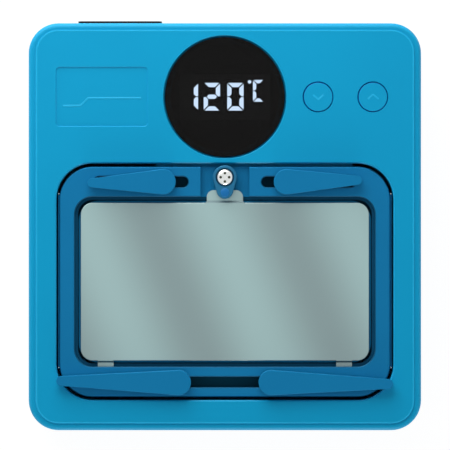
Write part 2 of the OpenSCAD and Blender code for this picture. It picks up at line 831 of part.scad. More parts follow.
module display_board() color("#1c5b3a") difference() {
  translate([0, lens_y, display_board_z]) linear_extrude(board_t)
    polygon([[-display_board_left, -display_board_front], [display_board_right, -display_board_front],
      [display_board_right, display_board_front / 2], [display_board_right - display_board_front / 2,
      display_board_rear], [-display_board_step, display_board_rear],
      [-display_board_step, display_board_step_y], [-display_board_left, display_board_step_y]]);
  for (p = board_boss_sites)
    translate([p[0], lens_y + p[1], display_board_z - over])
      cylinder(r = small_screw_r + seat_gap, h = board_t + 2 * over);
}

module display_board_screws() color("#a7abae")
  for (p = board_boss_sites)
    translate([p[0], lens_y + p[1], display_board_z])
      screw_up(small_screw_r, board_t + board_screw_bite - over);

// Keys

module key_switches() color("#1b1c1e")
  for (x = key_xs)
    translate([x, lens_y, block_z]) difference() {
      translate([-switch_size[0] / 2, -switch_size[1] / 2, 0]) cube(switch_size);
      translate([0, 0, switch_size[2] - button_down - key_travel - well_spare])
        cylinder(r = button_r + turn_gap, h = switch_size[2]);
    }

module switch_button(x) color("#d9d9d6")
  translate([x, lens_y, button_top - button_up - button_down])
    cylinder(r = button_r, h = button_up + button_down);

module down_switch_button() switch_button(key_xs[0]);

module up_switch_button() switch_button(key_xs[1]);

// A key with its chevron; way is 1 for a chevron that points to the rear and -1 for the front.
module key(x, way) color("#1c9fce") translate([x, lens_y, 0]) {
  rotate_extrude() polygon([[0, button_top], [key_stem_r, button_top], [key_stem_r, key_flange_z],
    [key_r + key_flange_w, key_flange_z], [key_r + key_flange_w, key_flange_top],
    [key_r, key_flange_top], [key_r, key_top - key_break], [key_r - key_break, key_top],
    [key_r - 2 * key_break, key_top], [key_r - 3 * key_break, key_top - key_dish],
    [0, key_top - key_dish]]);
  translate([0, 0, key_top - 2 * key_dish]) linear_extrude(2 * key_dish)
    scale([1, way]) chevron_outline();
}

module chevron_outline() {
  w = chevron[0];
  h = chevron[1] / 2;
  s = chevron_w;
  polygon([[-w, -h], [0, h - s], [w, -h], [w, s - h], [0, h], [-w, s - h]]);
}

module down_key() key(key_xs[0], -1);

module up_key() key(key_xs[1], 1);

// Mains inlet

module mouth_outline() {
  for (x = [-1, 1])
    translate([x * contact_pitch / 2, 0]) circle(mouth_r);
  square([contact_pitch, mouth_waist], center = true);
}

module mains_inlet() color("#151618")
  translate([-inlet_x, inlet_face, inlet_z]) rotate([90, 0, 0]) difference() {
    union() {
      linear_extrude(flange_size[1]) round_rect(flange_size[0], flange_size[2], flange_r);
      translate([-inlet_body[0] / 2, -inlet_body[2] / 2, 0])
        cube([inlet_body[0], inlet_body[2], flange_size[1] + inlet_body[1]]);
      for (x = [-1, 1])
        scale([x, 1, 1]) inlet_barb();
    }
    translate([0, 0, -over]) linear_extrude(mouth_d + over) mouth_outline();
    for (x = [-1, 1])
      translate([x * contact_pitch / 2, 0, mouth_d - over])
        cylinder(r = contact_r + thread_gap, h = inlet_body[1] + 2 * over);
  }

// A springy barb that holds the inlet behind the wall.
module inlet_barb() {
  back = flange_size[1] + wall_t - flange_seat + slide_gap;
  translate([inlet_body[0] / 2, barb_h / 2, back]) rotate([90, 0, 0]) linear_extrude(barb_h)
    polygon([[-over, 0], [barb_out, 0], [0, barb_l], [-over, barb_l]]);
}

module inlet_pins() color("#c9b26a")
  for (x = [-1, 1])
    translate([-inlet_x + x * contact_pitch / 2, inlet_back, inlet_z]) {
      l = inlet_face - contact_in - inlet_back;
      rotate([-90, 0, 0]) rotate_extrude() rounded_section(contact_r, l, contact_r / 2);
      translate([-contact_tail_size[0] / 2, -contact_tail, -contact_tail_size[1] / 2])
        cube([contact_tail_size[0], contact_tail, contact_tail_size[1]]);
    }

// Power board

module on_power_board(at)
  translate([power_board_x + at[0], power_board_y + at[1], power_top]) children();

module power_board() color("#1c5b3a") difference() {
  translate([power_board_x, power_board_y, power_board_z]) linear_extrude(board_t)
    square(power_board_size, center = true);
  for (p = power_sites)
    translate([p[0], p[1], power_board_z - over])
      cylinder(r = small_screw_r + seat_gap, h = board_t + 2 * over);
}

module power_board_screws() color("#a7abae")
  for (p = power_sites)
    translate([p[0], p[1], power_top])
      screw_down(small_screw_r, board_t + power_screw_bite - 2 * thread_gap);

module transformer() color("#3a3d42") on_power_board(transformer_at) {
  w = transformer_size[0];
  d = transformer_size[1];
  h = transformer_size[2];
  translate([-w / 2, -d / 2, 0]) cube([w, d, h / 4]);
  translate([-w / 2, -d / 4, 0]) cube([w, d / 2, h]);
  translate([-w / 4, -d / 2, 0]) cube([w / 2, d, h * 3 / 4]);
}

module filter_capacitor() color("#d1b13a") on_power_board(capacitor_at)
  soft_slab(capacitor_size[0], capacitor_size[1], 2 * capacitor_edge_r, capacitor_size[2],
    capacitor_edge_r);

module mains_fuse() color("#cfd2cc") on_power_board(cartridge_at) {
  cap = cartridge_l / 4;
  translate([-cartridge_l / 2, 0, cartridge_r + board_t / 2]) rotate([0, 90, 0])
    cylinder(r = cartridge_r, h = cartridge_l);
  for (x = [-1, 1])
    translate([x * (cartridge_l - cap) / 2 - cap / 4, -cartridge_r, 0])
      cube([cap / 2, 2 * cartridge_r, cartridge_r]);
}

module heat_sink() color("#9a9da0") on_power_board(sink_at) {
  w = sink_size[0];
  d = sink_size[1];
  translate([-w / 2, -d / 2, 0]) cube([w, sink_base_t, sink_size[2]]);
  for (i = [0:sink_fins - 1])
    translate([-w / 2 + i * (w - sink_fin_t) / (sink_fins - 1), -d / 2, 0])
      cube([sink_fin_t, d, sink_size[2]]);
}

module triac() color("#222326")
  on_power_board([sink_at[0] - triac_size[0] / 2, sink_at[1] - sink_size[1] / 2 - triac_size[1]])
    cube(triac_size);

module terminal_block() color("#2c7a4a") on_power_board(terminal_at) difference() {
  w = terminal_size[0];
  d = terminal_size[1];
  translate([-w / 2, -d / 2, 0]) cube(terminal_size);
  for (i = [0:terminal_ways - 1])
    translate([(i - (terminal_ways - 1) / 2) * w / terminal_ways, -d / 2 - over, terminal_size[2] / 2])
      rotate([-90, 0, 0]) cylinder(r = terminal_hole_r, h = d / 2 + over);
}

// Heater tray

module heater_tray() color("#1c6fa1") difference() {
  union() {
    translate([0, tray_y, tray_bottom]) soft_slab(tray_w, tray_d, tray_r, tray_t, tray_edge_r);
    for (p = leg_sites)
      translate([p[0], p[1], leg_bottom]) cylinder(r = leg_r, h = leg_h);
    translate([0, clip_y, tray_bottom - clip_boss_h]) cylinder(r = clip_boss_r, h = clip_boss_h);
  }
  translate([0, tray_y, ledge_z])
    flared_cut(opening_w, opening_d, opening_r, tray_top - ledge_z, tray_break);
  translate([0, tray_y, tray_bottom - over]) linear_extrude(tray_t + over)
    round_rect(passage_w, passage_d, opening_r - ledge_w);
  clip_pocket();
  for (x = [-1, 1])
    translate([x * (rear_slot_near + rear_slot_far) / 2, rear_slot_y, tray_bottom - over])
      flared_slot(rear_slot_far - rear_slot_near, slot_w, tray_t + over, tray_break);
  translate([0, front_slot_y, tray_bottom - over])
    flared_slot(2 * front_slot_far, slot_w, tray_t + over, tray_break);
  for (x = [-1, 1])
    translate([x * tab_x - tab_w / 2 - seat_gap, tray_y - opening_d / 2 - tab_hook - seat_gap, ledge_z])
      cube([tab_w + 2 * seat_gap, tab_hook + seat_gap + over, lip_z - ledge_z]);
  for (p = leg_sites)
    translate([p[0], p[1], leg_bottom - over])
      cylinder(r = tray_screw_r + thread_gap, h = tray_screw_bite + 2 * over);
  for (p = lug_sites)
    translate([p[0], p[1], tray_bottom - over])
      cylinder(r = small_screw_r + thread_gap, h = lug_bite + over + slide_gap);
  translate([0, clip_y, tray_bottom - clip_boss_h - over])
    cylinder(r = small_screw_r + thread_gap, h = tray_t + clip_boss_h + over);
}

// The pocket that the clip turns in, open to the rear and to the opening.
module clip_pocket() {
  y0 = tray_y + passage_d / 2;
  y1 = tray_y + tray_d / 2 + over;
  translate([-pocket_half_w, y0, pocket_z])
    cube([2 * pocket_half_w, y1 - y0, tray_top - pocket_z + over]);
}

module tray_spacers() color("#e6e2d6")
  for (p = leg_sites)
    translate([p[0], p[1], tray_boss_top]) difference() {
      cylinder(r = spacer_r, h = spacer_h);
      translate([0, 0, -over]) cylinder(r = tray_screw_r + seat_gap, h = spacer_h + 2 * over);
    }

module tray_screws() color("#a7abae")
  for (p = leg_sites)
    translate([p[0], p[1], tray_boss_top - tray_web_t])
      screw_up(tray_screw_r, tray_web_t + spacer_h + shield_t + tray_screw_bite);

module heat_shield() color("#3a3f44") difference() {
  translate([0, tray_y, leg_bottom - shield_t]) linear_extrude(shield_t)
    round_rect(shield_size[0], shield_size[1], shield_r);
  for (p = leg_sites)
    translate([p[0], p[1], leg_bottom - shield_t - over])
      cylinder(r = tray_screw_r + seat_gap, h = shield_t + 2 * over);
}

// Heater

module heater_block() color("#2a2e31") difference() {
  union() {
    translate([0, tray_y, heater_bottom]) linear_extrude(plate_bottom - heater_bottom)
      round_rect(heater_size[0], heater_size[1], heater_r);
    for (p = lug_sites)
      translate([min(0, p[0]), p[1] - lug_w / 2, heater_bottom]) cube([abs(p[0]), lug_w, lug_t]);
    for (p = lug_sites)
      translate([p[0], p[1], heater_bottom]) cylinder(r = lug_washer_r, h = lug_t);
  }
  for (y = [-1, 1])
    translate([0, tray_y + y * strip_y, heater_bottom - over]) linear_extrude(strip_size[1] + over)
      square([strip_l + 2 * seat_gap, strip_size[0] + 2 * seat_gap], center = true);
  for (p = lug_sites)
    translate([p[0], p[1], heater_bottom - over])
      cylinder(r = small_screw_r + seat_gap, h = lug_t + 2 * over);
  for (x = clamp_xs)
    translate([x, tray_y, heater_bottom - over])
      cylinder(r = small_screw_r + thread_gap, h = clamp_bite + over);
  translate([probe_x, tray_y + heater_size[1] / 2 + over, plate_bottom - probe_drop])
    rotate([90, 0, 0]) cylinder(r = probe_r + slide_gap, h = probe_l - probe_out + over + seat_gap);
}

module lug_washers() color("#e6e2d6")
  for (p = lug_sites)
    translate([p[0], p[1], tray_bottom - lug_washer_h]) difference() {
      cylinder(r = lug_washer_r, h = lug_washer_h);
      translate([0, 0, -over]) cylinder(r = small_screw_r + seat_gap, h = lug_washer_h + 2 * over);
    }

module lug_screws() color("#a7abae")
  for (p = lug_sites)
    translate([p[0], p[1], heater_bottom]) screw_up(small_screw_r, lug_t + lug_washer_h + lug_bite);

module heating_strips() color("#e9e7e0")
  for (y = [-1, 1])
    translate([-strip_l / 2, tray_y + y * strip_y - strip_size[0] / 2, heater_bottom])
      cube([strip_l, strip_size[0], strip_size[1]]);

module strip_clamp() color("#9a9da0") difference() {
  union() {
    translate([0, tray_y, heater_bottom - clamp_t]) linear_extrude(clamp_t)
      round_rect(clamp_size[0], clamp_size[1], heater_r);
    for (y = [-1, 1])
      translate([-clamp_size[0] / 2, tray_y + y * (clamp_size[1] - clamp_rib_w) / 2 - clamp_rib_w / 2,
        heater_bottom - 2 * clamp_t]) cube([clamp_size[0], clamp_rib_w, clamp_t]);
  }
  for (x = clamp_xs)
    translate([x, tray_y, heater_bottom - clamp_t - over])
      cylinder(r = small_screw_r + seat_gap, h = clamp_t + 2 * over);
}

module clamp_screws() color("#a7abae")
  for (x = clamp_xs)
    translate([x, tray_y, heater_bottom - clamp_t])
      screw_up(small_screw_r, clamp_t + clamp_bite - seat_gap);

module temperature_probe() color("#c9ccce")
  translate([probe_x, tray_y + heater_size[1] / 2 + probe_out, plate_bottom - probe_drop])
    rotate([90, 0, 0]) rotate_extrude() rounded_section(probe_r, probe_l, probe_r / 2);

module thermal_fuse() color("#3b3f44")
  translate([-fuse_body[0] / 2, tray_y + fuse_y - fuse_body[1] / 2, heater_bottom - clamp_t])
    mirror([0, 0, 1]) cube(fuse_body);

// Heat plate

// Side section of a tongue bent down from the plate's edge: y from 0 at the edge.
module tongue_section(reach, drop) polygon([[-plate_t, 0], [0, 0], [bend_l, -drop], [reach, -drop],
  [reach, plate_t - drop], [bend_l, plate_t - drop], [0, plate_t], [-plate_t, plate_t]]);

// A tongue of width w at the plate's edge, reaching along +y.
module tongue(w, reach, drop)
  translate([-w / 2, 0, plate_bottom]) rotate([90, 0, 90]) linear_extrude(w) tongue_section(reach, drop);

// The ear's outline, flared where it leaves the plate's edge.
module ear_outline() {
  w = ear_half_w + flare_r;
  round_rect(2 * ear_half_w, 2 * ear_reach, ear_r);
  difference() {
    translate([-w, -plate_t]) square([2 * w, plate_t + flare_r]);
    for (x = [-1, 1])
      translate([x * w, flare_r]) circle(flare_r);
  }
}

module heat_plate() color("#95adad") {
  translate([0, tray_y, plate_bottom]) soft_slab(plate_w, plate_d, plate_r, plate_t, plate_edge_r);
  translate([0, tray_y + plate_d / 2, 0]) intersection() {
    tongue(2 * (ear_half_w + flare_r), ear_reach, ear_drop);
    linear_extrude(top_z) ear_outline();
  }
  for (x = [-1, 1])
    translate([x * tab_x, tray_y - plate_d / 2, 0]) rotate(180)
      tongue(tab_w, plate_gap + ledge_w + tab_hook, tab_drop);
}

// Clip

module plate_clip() color("#1b74a4") difference() {
  translate([0, clip_y, 0]) {
    translate([0, 0, clip_tip_z]) rotate(-90)
      taper_arm(clip_r, clip_tip_r, clip_l, clip_t, clip_edge_r);
    translate([0, 0, clip_hub_z]) cylinder(r = clip_r - clip_edge_r, h = clip_tip_z - clip_hub_z);
    translate([0, -clip_l, clip_top]) cylinder(r = pip_r, h = pip_h);
  }
  translate([0, clip_y, clip_top - clip_recess_d]) cylinder(r = clip_recess_r, h = clip_recess_d + over);
  translate([0, clip_y, clip_hub_z - over]) cylinder(r = small_screw_r + turn_gap, h = clip_top);
}

module clip_screw() color("#e4e6e6") translate([0, clip_y, clip_head_z]) {
  pan_head(clip_head_r, clip_head_h);
  mirror([0, 0, 1]) cylinder(r = small_screw_r, h = clip_bite);
}

// Arms

// Places what stands on a pivot of the slots.
module at_pivot(x, y) translate([x, y, 0]) children();

module arm_stud() rotate_extrude() polygon([[0, stud_z], [stud_r - stud_tip, stud_z],
  [stud_r, stud_z + stud_tip], [stud_r, ring_z - slide_gap], [groove_r, ring_z - slide_gap],
  [groove_r, ring_z + ring_t + slide_gap / 2], [stud_r, ring_z + ring_t + slide_gap / 2],
  [stud_r, arm_bottom + stud_root], [0, arm_bottom + stud_root]]);

module arm(x, y, turn, r1, r2, l) color("#1b74a4") at_pivot(x, y) {
  translate([0, 0, arm_bottom]) rotate(turn) taper_arm(r1, r2, l, arm_t, arm_edge_r);
  arm_stud();
}

module rear_left_arm()
  arm(-rear_arm_x, rear_slot_y, 180 + arm_turns[0], rear_arm_r, rear_tip_r, rear_arm_l);

module rear_right_arm()
  arm(rear_arm_x, rear_slot_y, arm_turns[1], rear_arm_r, rear_tip_r, rear_arm_l);

module front_left_arm()
  arm(-front_arm_x, front_slot_y, 180 + arm_turns[2], front_arm_r, front_tip_r, front_arm_l);

module front_right_arm()
  arm(front_arm_x, front_slot_y, arm_turns[3], front_arm_r, front_tip_r, front_arm_l);

module slider(x, y) color("#8d9296") at_pivot(x, y) difference() {
  union() {
    translate([0, 0, tray_top + slide_gap]) cylinder(r = slider_top_r, h = slider_top_t);
    translate([0, 0, slider_foot_z]) linear_extrude(tray_top + 2 * slide_gap - slider_foot_z)
      slot_outline(slider_web_l, slot_w - 2 * slide_gap);
    translate([0, 0, slider_foot_z]) linear_extrude(slider_foot_t)
      round_rect(slider_foot[0], slider_foot[1], slider_foot_r);
  }
  translate([0, 0, slider_foot_z - over]) cylinder(r = stud_r + turn_gap, h = arm_bottom);
}

module rear_left_slider() slider(-rear_arm_x, rear_slot_y);

module rear_right_slider() slider(rear_arm_x, rear_slot_y);

module front_left_slider() slider(-front_arm_x, front_slot_y);

module front_right_slider() slider(front_arm_x, front_slot_y);

module ring(x, y) color("#8d9296") at_pivot(x, y) translate([0, 0, ring_z]) difference() {
  cylinder(r = ring_r, h = ring_t);
  translate([0, 0, -over]) cylinder(r = groove_r + thread_gap, h = ring_t + 2 * over);
  translate([0, -ring_mouth_w / 2, -over]) cube([2 * ring_r, ring_mouth_w, ring_t + 2 * over]);
}

module rear_left_ring() ring(-rear_arm_x, rear_slot_y);

module rear_right_ring() ring(rear_arm_x, rear_slot_y);

module front_left_ring() ring(-front_arm_x, front_slot_y);

module front_right_ring() ring(front_arm_x, front_slot_y);

top_cover();
bottom_case();
case_screws();
rubber_feet();
display_lens();
display_mask();
display_block();
display_digits();
display_board();
display_board_screws();
key_switches();
down_key();
up_key();
down_switch_button();
up_switch_button();
mains_inlet();
inlet_pins();
power_board();
power_board_screws();
mains_fuse();
transformer();
filter_capacitor();
triac();
heat_sink();
terminal_block();
heater_tray();
heat_shield();
tray_spacers();
tray_screws();
heater_block();
lug_washers();
lug_screws();
heating_strips();
strip_clamp();
clamp_screws();
temperature_probe();
thermal_fuse();
heat_plate();
plate_clip();
clip_screw();
rear_left_arm();
rear_right_arm();
front_left_arm();
front_right_arm();
rear_left_slider();
rear_right_slider();
front_left_slider();
front_right_slider();
rear_left_ring();
rear_right_ring();
front_left_ring();
front_right_ring();
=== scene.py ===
# Bench preheater for small circuit boards, seen from straight above.
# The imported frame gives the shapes. This script gives them their finishes and adds the finer pieces.
import math

import bmesh
import bpy
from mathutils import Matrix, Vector


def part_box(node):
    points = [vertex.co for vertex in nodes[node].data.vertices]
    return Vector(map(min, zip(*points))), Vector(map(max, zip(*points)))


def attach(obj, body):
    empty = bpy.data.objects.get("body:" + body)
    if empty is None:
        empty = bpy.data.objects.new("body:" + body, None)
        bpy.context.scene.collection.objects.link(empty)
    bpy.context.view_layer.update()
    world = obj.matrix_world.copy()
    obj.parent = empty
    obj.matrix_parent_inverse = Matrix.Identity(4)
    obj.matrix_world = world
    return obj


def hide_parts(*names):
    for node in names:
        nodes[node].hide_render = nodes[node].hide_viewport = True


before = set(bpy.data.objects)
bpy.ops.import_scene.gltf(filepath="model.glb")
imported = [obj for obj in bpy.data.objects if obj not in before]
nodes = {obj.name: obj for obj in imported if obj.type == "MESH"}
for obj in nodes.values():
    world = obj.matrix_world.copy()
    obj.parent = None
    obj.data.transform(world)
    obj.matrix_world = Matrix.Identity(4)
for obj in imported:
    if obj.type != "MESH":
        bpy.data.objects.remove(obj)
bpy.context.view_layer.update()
mm = 0.001


# sRGB hex to Blender's linear values
def linearColour(code):
    parts = [int(code[i:i + 2], 16) / 255 for i in (1, 3, 5)]
    return tuple(p / 12.92 if p <= 0.04045 else ((p + 0.055) / 1.055) ** 2.4 for p in parts) + (1.0,)


# Adds a node with its settings. An input is a value, a socket or a node, which stands for its first
# output, or a list of sockets and nodes.
def addNode(tree, kind, inputs=None, **settings):
    node = tree.nodes.new(kind)
    for name, value in settings.items():
        setattr(node, name, value)
    for key, value in (inputs or {}).items():
        for source in value if isinstance(value, list) else [value]:
            if isinstance(source, bpy.types.Node):
                source = source.outputs[0]
            if isinstance(source, bpy.types.NodeSocket):
                tree.links.new(source, node.inputs[key])
            else:
                node.inputs[key].default_value = source
    return node


# Camera: a long lens high above the panel, so that the case's walls stay hidden behind its top.
view = {
    "lens": 250.0,
    "sensor": 36.0,
    "across": 116.79,      # what the frame takes in at the panel's level, mm
    "aim": (0.03, 0.45),   # mm
    "level": 27.0,         # the panel's height, mm
}
cameraData = bpy.data.cameras.new("camera")
cameraData.lens = view["lens"]
cameraData.sensor_width = view["sensor"]
camera = bpy.data.objects.new("camera", cameraData)
reach = view["across"] * view["lens"] / view["sensor"]
camera.location = (view["aim"][0] * mm, view["aim"][1] * mm, (view["level"] + reach) * mm)
bpy.context.scene.collection.objects.link(camera)
bpy.context.scene.camera = camera

# Light: a soft sky that brightens towards the horizon, so that edges catch it on every side, a large
# lamp behind the left rear corner, which lets the panel fall off to the front, and a small low one.
studio = {
    "sky": {"above": 0.20, "rim": 2.0, "falloff": 3.0},
    "rear": {"at": (-0.09, 0.30, 0.17), "size": 0.35, "power": 1.5},
    "front": {"at": (0.05, -0.55, 0.10), "size": 0.18, "power": 1.0},
    "floorShare": 0.88,    # how much of the floor's white comes from its own glow
    "floorGlow": 1.07,
    "floorReach": 2.0,     # m
    "paper": 0.9,
}
scene = bpy.context.scene
scene.view_settings.view_transform = "Standard"


# white for what the camera sees directly, in gloss or through glass, and 0 for the light itself
def seenRays(tree):
    ray = addNode(tree, "ShaderNodeLightPath")
    shiny = addNode(tree, "ShaderNodeMath", {0: ray.outputs["Is Glossy Ray"],
                                             1: ray.outputs["Is Transmission Ray"]}, operation="MAXIMUM")
    return addNode(tree, "ShaderNodeMath", {0: shiny, 1: ray.outputs["Is Camera Ray"]},
                   operation="MAXIMUM")


world = bpy.data.worlds.new("studio")
scene.world = world
world.use_nodes = True
tree = world.node_tree
tree.nodes.clear()
aim = addNode(tree, "ShaderNodeTexCoord").outputs["Generated"]
height = addNode(tree, "ShaderNodeSeparateXYZ", {0: aim}).outputs["Z"]
low = addNode(tree, "ShaderNodeMath", {0: 1.0, 1: height}, operation="SUBTRACT", use_clamp=True)
fade = addNode(tree, "ShaderNodeMath", {0: low, 1: studio["sky"]["falloff"]}, operation="POWER")
glow = addNode(tree, "ShaderNodeMath", {0: fade, 1: studio["sky"]["rim"],
                                        2: studio["sky"]["above"]}, operation="MULTIPLY_ADD")
fill = addNode(tree, "ShaderNodeBackground", {"Color": (1, 1, 1, 1), "Strength": glow})
backdrop = addNode(tree, "ShaderNodeBackground", {"Color": (1, 1, 1, 1), "Strength": 1.0})
sky = addNode(tree, "ShaderNodeMixShader", {0: seenRays(tree), 1: fill, 2: backdrop})
addNode(tree, "ShaderNodeOutputWorld", {"Surface": sky})

for name in ("rear", "front"):
    lampData = bpy.data.lights.new(name + "Light", "AREA")
    lampData.energy = studio[name]["power"]
    lampData.size = studio[name]["size"]
    lamp = bpy.data.objects.new(name + "Light", lampData)
    lamp.location = studio[name]["at"]
    lamp.rotation_euler = (-Vector(studio[name]["at"])).to_track_quat("-Z", "Y").to_euler()
    scene.collection.objects.link(lamp)

floorFinish = bpy.data.materials.new("paperSweep")   # matt white paper, with only a faint shadow
floorFinish.use_nodes = True
tree = floorFinish.node_tree
tree.nodes.clear()
share = addNode(tree, "ShaderNodeMath", {0: seenRays(tree), 1: studio["floorShare"]},
                operation="MULTIPLY")
paper = addNode(tree, "ShaderNodeBsdfDiffuse", {"Color": (studio["paper"],) * 3 + (1,)})
shine = addNode(tree, "ShaderNodeEmission", {"Color": (1, 1, 1, 1), "Strength": studio["floorGlow"]})
both = addNode(tree, "ShaderNodeMixShader", {0: share, 1: paper, 2: shine})
addNode(tree, "ShaderNodeOutputMaterial", {"Surface": both})
floorMesh = bpy.data.meshes.new("floor")
side = studio["floorReach"]
floorMesh.from_pydata([(-side, -side, 0), (side, -side, 0), (side, side, 0), (-side, side, 0)], [],
                      [(0, 1, 2, 3)])
floorMesh.materials.append(floorFinish)
floor = bpy.data.objects.new("floor", floorMesh)
scene.collection.objects.link(floor)
print("camera, light and floor set")

# Finishes. Each has two tones that the surface drifts between, the drift's size in mm, the range of
# the roughness, and the grain's size and height in mm. One with painted shade has another, darker tone
# painted on what is steep or low inside a rectangle, where shade falls in its recesses; the rectangle
# is given by its middle and half its sides in mm.
finishes = {
    # ABS from a spark-eroded mould: an even satin with a fine grain, and little gloss of its own
    "mouldedAbs": {"tones": ("#009ccc", "#009fcf"), "drift": 30, "roughness": (0.42, 0.5),
                   "grain": 0.45, "height": 0.003, "ior": 1.53, "specular": 0.19},
    "mouldedAbsBase": {"tones": ("#0089b8", "#008bba"), "drift": 30, "roughness": (0.45, 0.55),
                       "grain": 0.45, "height": 0.004, "ior": 1.53, "specular": 0.19},
    # the raised marks: the same ABS, a shade lighter; on the lines along the panel's edge and across the
    # field the lighter tone is painted highlight
    "lightAbsAndHighlight": {"tones": ("#1aaedd", "#1eb2e2"), "drift": 5, "roughness": (0.3, 0.4),
                    "grain": 0.3, "height": 0.0, "ior": 1.53, "specular": 0.2},
    # aluminium, bead blasted and anodised blue: a dull metal, part dye and part shine
    "blueAnodised": {"tones": ("#0472a4", "#0575a8"), "drift": 18, "roughness": (0.5, 0.58),
                     "grain": 0.3, "height": 0.003, "ior": 1.6, "metallic": 0.33, "specular": 0.14},
    "blueAnodisedArm": {"tones": ("#0474a6", "#0576a8"), "drift": 12, "roughness": (0.46, 0.54),
                        "grain": 0.3, "height": 0.003, "ior": 1.6, "metallic": 0.33, "specular": 0.14},
    # the clip: a greyer, paler blue than the arms, and a little more metallic
    "paleAnodisedClip": {"tones": ("#20698f", "#236d93"), "drift": 4, "roughness": (0.44, 0.52),
                         "grain": 0.3, "height": 0.003, "ior": 1.6, "metallic": 0.4, "specular": 0.16},
    # enamel, a clear mid blue: the dot that fills the clip's thumb pip
    "blueEnamel": {"tones": ("#0a6aab", "#0c6eaf"), "drift": 3, "roughness": (0.4, 0.48),
                   "grain": 0.4, "height": 0.002, "ior": 1.5, "specular": 0.3},
    # aluminium, charcoal: painted shade, so the gaps round the heater read dark
    "charcoalPaintedShade": {"tones": ("#10181f", "#141e26"), "drift": 8, "roughness": (0.5, 0.62),
                     "grain": 0.35, "height": 0.004, "ior": 1.6, "metallic": 0.3, "specular": 0.2},
    # steel sheet, dark blue: painted shade, for what shows through the front slot and the gaps
    "blueSteelPaintedShade": {"tones": ("#0c3b50", "#0f4259"), "drift": 9, "roughness": (0.38, 0.5),
                   "grain": 0.5, "height": 0.003, "metallic": 1.0},
    # bright nickel plate, buffed
    "brightNickel": {"tones": ("#d6dad8", "#e1e3e2"), "drift": 1.2, "roughness": (0.2, 0.28),
                     "grain": 0.3, "height": 0.0, "metallic": 1.0},
    # painted shade: a dark olive grey on the floors of the deep ends of a cross recess
    "recessPaintedShade": {"tones": ("#5a5f4c", "#6a6e5c"), "drift": 0.4, "roughness": (0.6, 0.8),
                    "grain": 0.1, "height": 0.0, "ior": 1.5, "specular": 0.2},
    # zinc plated steel: grey with a slight blue cast
    "zincPlate": {"tones": ("#9ba0a5", "#a9adb1"), "drift": 2.5, "roughness": (0.28, 0.42),
                  "grain": 0.3, "height": 0.003, "metallic": 1.0},
    # nitrile rubber, moulded and slightly chalky
    "nitrileRubber": {"tones": ("#17181a", "#1f2023"), "drift": 3, "roughness": (0.7, 0.85),
                      "grain": 0.35, "height": 0.01, "ior": 1.52, "specular": 0.3},
    # glass-filled nylon of the inlet
    "blackNylon": {"tones": ("#0a0c0e", "#0f1113"), "drift": 6, "roughness": (0.42, 0.55),
                   "grain": 0.4, "height": 0.005, "ior": 1.53, "specular": 0.2},
    # tinted acrylic window, polished
    "smokedAcrylic": {"tones": ("#030303", "#040404"), "drift": 12, "roughness": (0.05, 0.08),
                      "grain": 2.0, "height": 0.0, "ior": 1.49, "specular": 0.18, "alpha": 0.6},
    # black ink printed on film
    "printedMask": {"tones": ("#050505", "#060606"), "drift": 8, "roughness": (0.6, 0.7),
                    "grain": 0.5, "height": 0.0, "ior": 1.5, "specular": 0.1},
    # matt black epoxy of the digit block
    "blackEpoxy": {"tones": ("#050505", "#060606"), "drift": 5, "roughness": (0.6, 0.75),
                   "grain": 0.4, "height": 0.001, "ior": 1.55, "specular": 0.1},
    # light pipes lit from behind
    "litSegments": {"tones": ("#c6dcf6", "#cce1f8"), "drift": 1.5, "roughness": (0.4, 0.5),
                    "grain": 0.4, "height": 0.0, "ior": 1.5, "glow": 6.6},
    # glass-epoxy laminate under green solder mask
    "solderMask": {"tones": ("#0d4a28", "#145a32"), "drift": 1.6, "roughness": (0.25, 0.4),
                   "grain": 0.5, "height": 0.01, "ior": 1.55},
    "paleNylon": {"tones": ("#d9d9d4", "#e2e2de"), "drift": 4, "roughness": (0.4, 0.5),
                  "grain": 0.4, "height": 0.003, "ior": 1.53},
    # brass pins, tinned
    "tinnedBrass": {"tones": ("#c7b374", "#d3c48c"), "drift": 2, "roughness": (0.22, 0.34),
                    "grain": 0.3, "height": 0.002, "metallic": 1.0},
    # white glaze of a ceramic fuse body
    "glazedCeramic": {"tones": ("#c9cdc8", "#d6d9d4"), "drift": 3, "roughness": (0.1, 0.2),
                      "grain": 0.5, "height": 0.0, "ior": 1.5},
    "yellowFilmBox": {"tones": ("#c9a83a", "#d2b246"), "drift": 3, "roughness": (0.25, 0.35),
                      "grain": 0.5, "height": 0.002, "ior": 1.5},
    "greenPolyamide": {"tones": ("#2c7a4a", "#318352"), "drift": 3, "roughness": (0.4, 0.5),
                       "grain": 0.4, "height": 0.004, "ior": 1.53},
    # extruded or milled aluminium, left bare
    "bareAluminium": {"tones": ("#aeb2b4", "#babdbf"), "drift": 4, "roughness": (0.3, 0.42),
                      "grain": 0.5, "height": 0.004, "metallic": 1.0},
    # unglazed magnesium silicate: chalky off-white
    "steatite": {"tones": ("#d8d4c6", "#e4e0d6"), "drift": 3, "roughness": (0.55, 0.7),
                 "grain": 0.4, "height": 0.006, "ior": 1.6},
}
trayMiddle = (0.0, -14.285)   # mm; the heater block sits on it too
# the tray: painted shade, a darker tone on the walls of its milled openings and on its ledge, where
# shade falls
finishes["blueAnodisedTray"] = dict(finishes["blueAnodised"], sunkShade={
    "tone": "#04587e", "half": (42.0, 29.0), "middle": trayMiddle, "below": 24.6})
# the keys: painted shade, a deeper blue on their walls and skirt, for the ring of shade round each
finishes["mouldedAbsKey"] = dict(finishes["mouldedAbs"], sunkShade={
    "tone": "#006ccc", "half": (51.0, 53.0), "middle": (0, 0), "below": 26.9})

# how the two noises are drawn, and the middle part of each one's range that is used
noises = {
    "drift": {"Detail": 2.0, "Roughness": 0.5},
    "driftRange": (0.3, 0.7),
    "grain": {"Detail": 3.0, "Roughness": 0.55},
    "grainRange": (0.25, 0.75),
}
levelFace = 0.9   # a face is steep if the upward part of its normal is less


# a new material with its tree, its shader and the place on the object
def startFinish(name):
    material = bpy.data.materials.new(name)
    material.use_nodes = True
    tree = material.node_tree
    place = addNode(tree, "ShaderNodeTexCoord").outputs["Object"]
    return material, tree, tree.nodes["Principled BSDF"], place


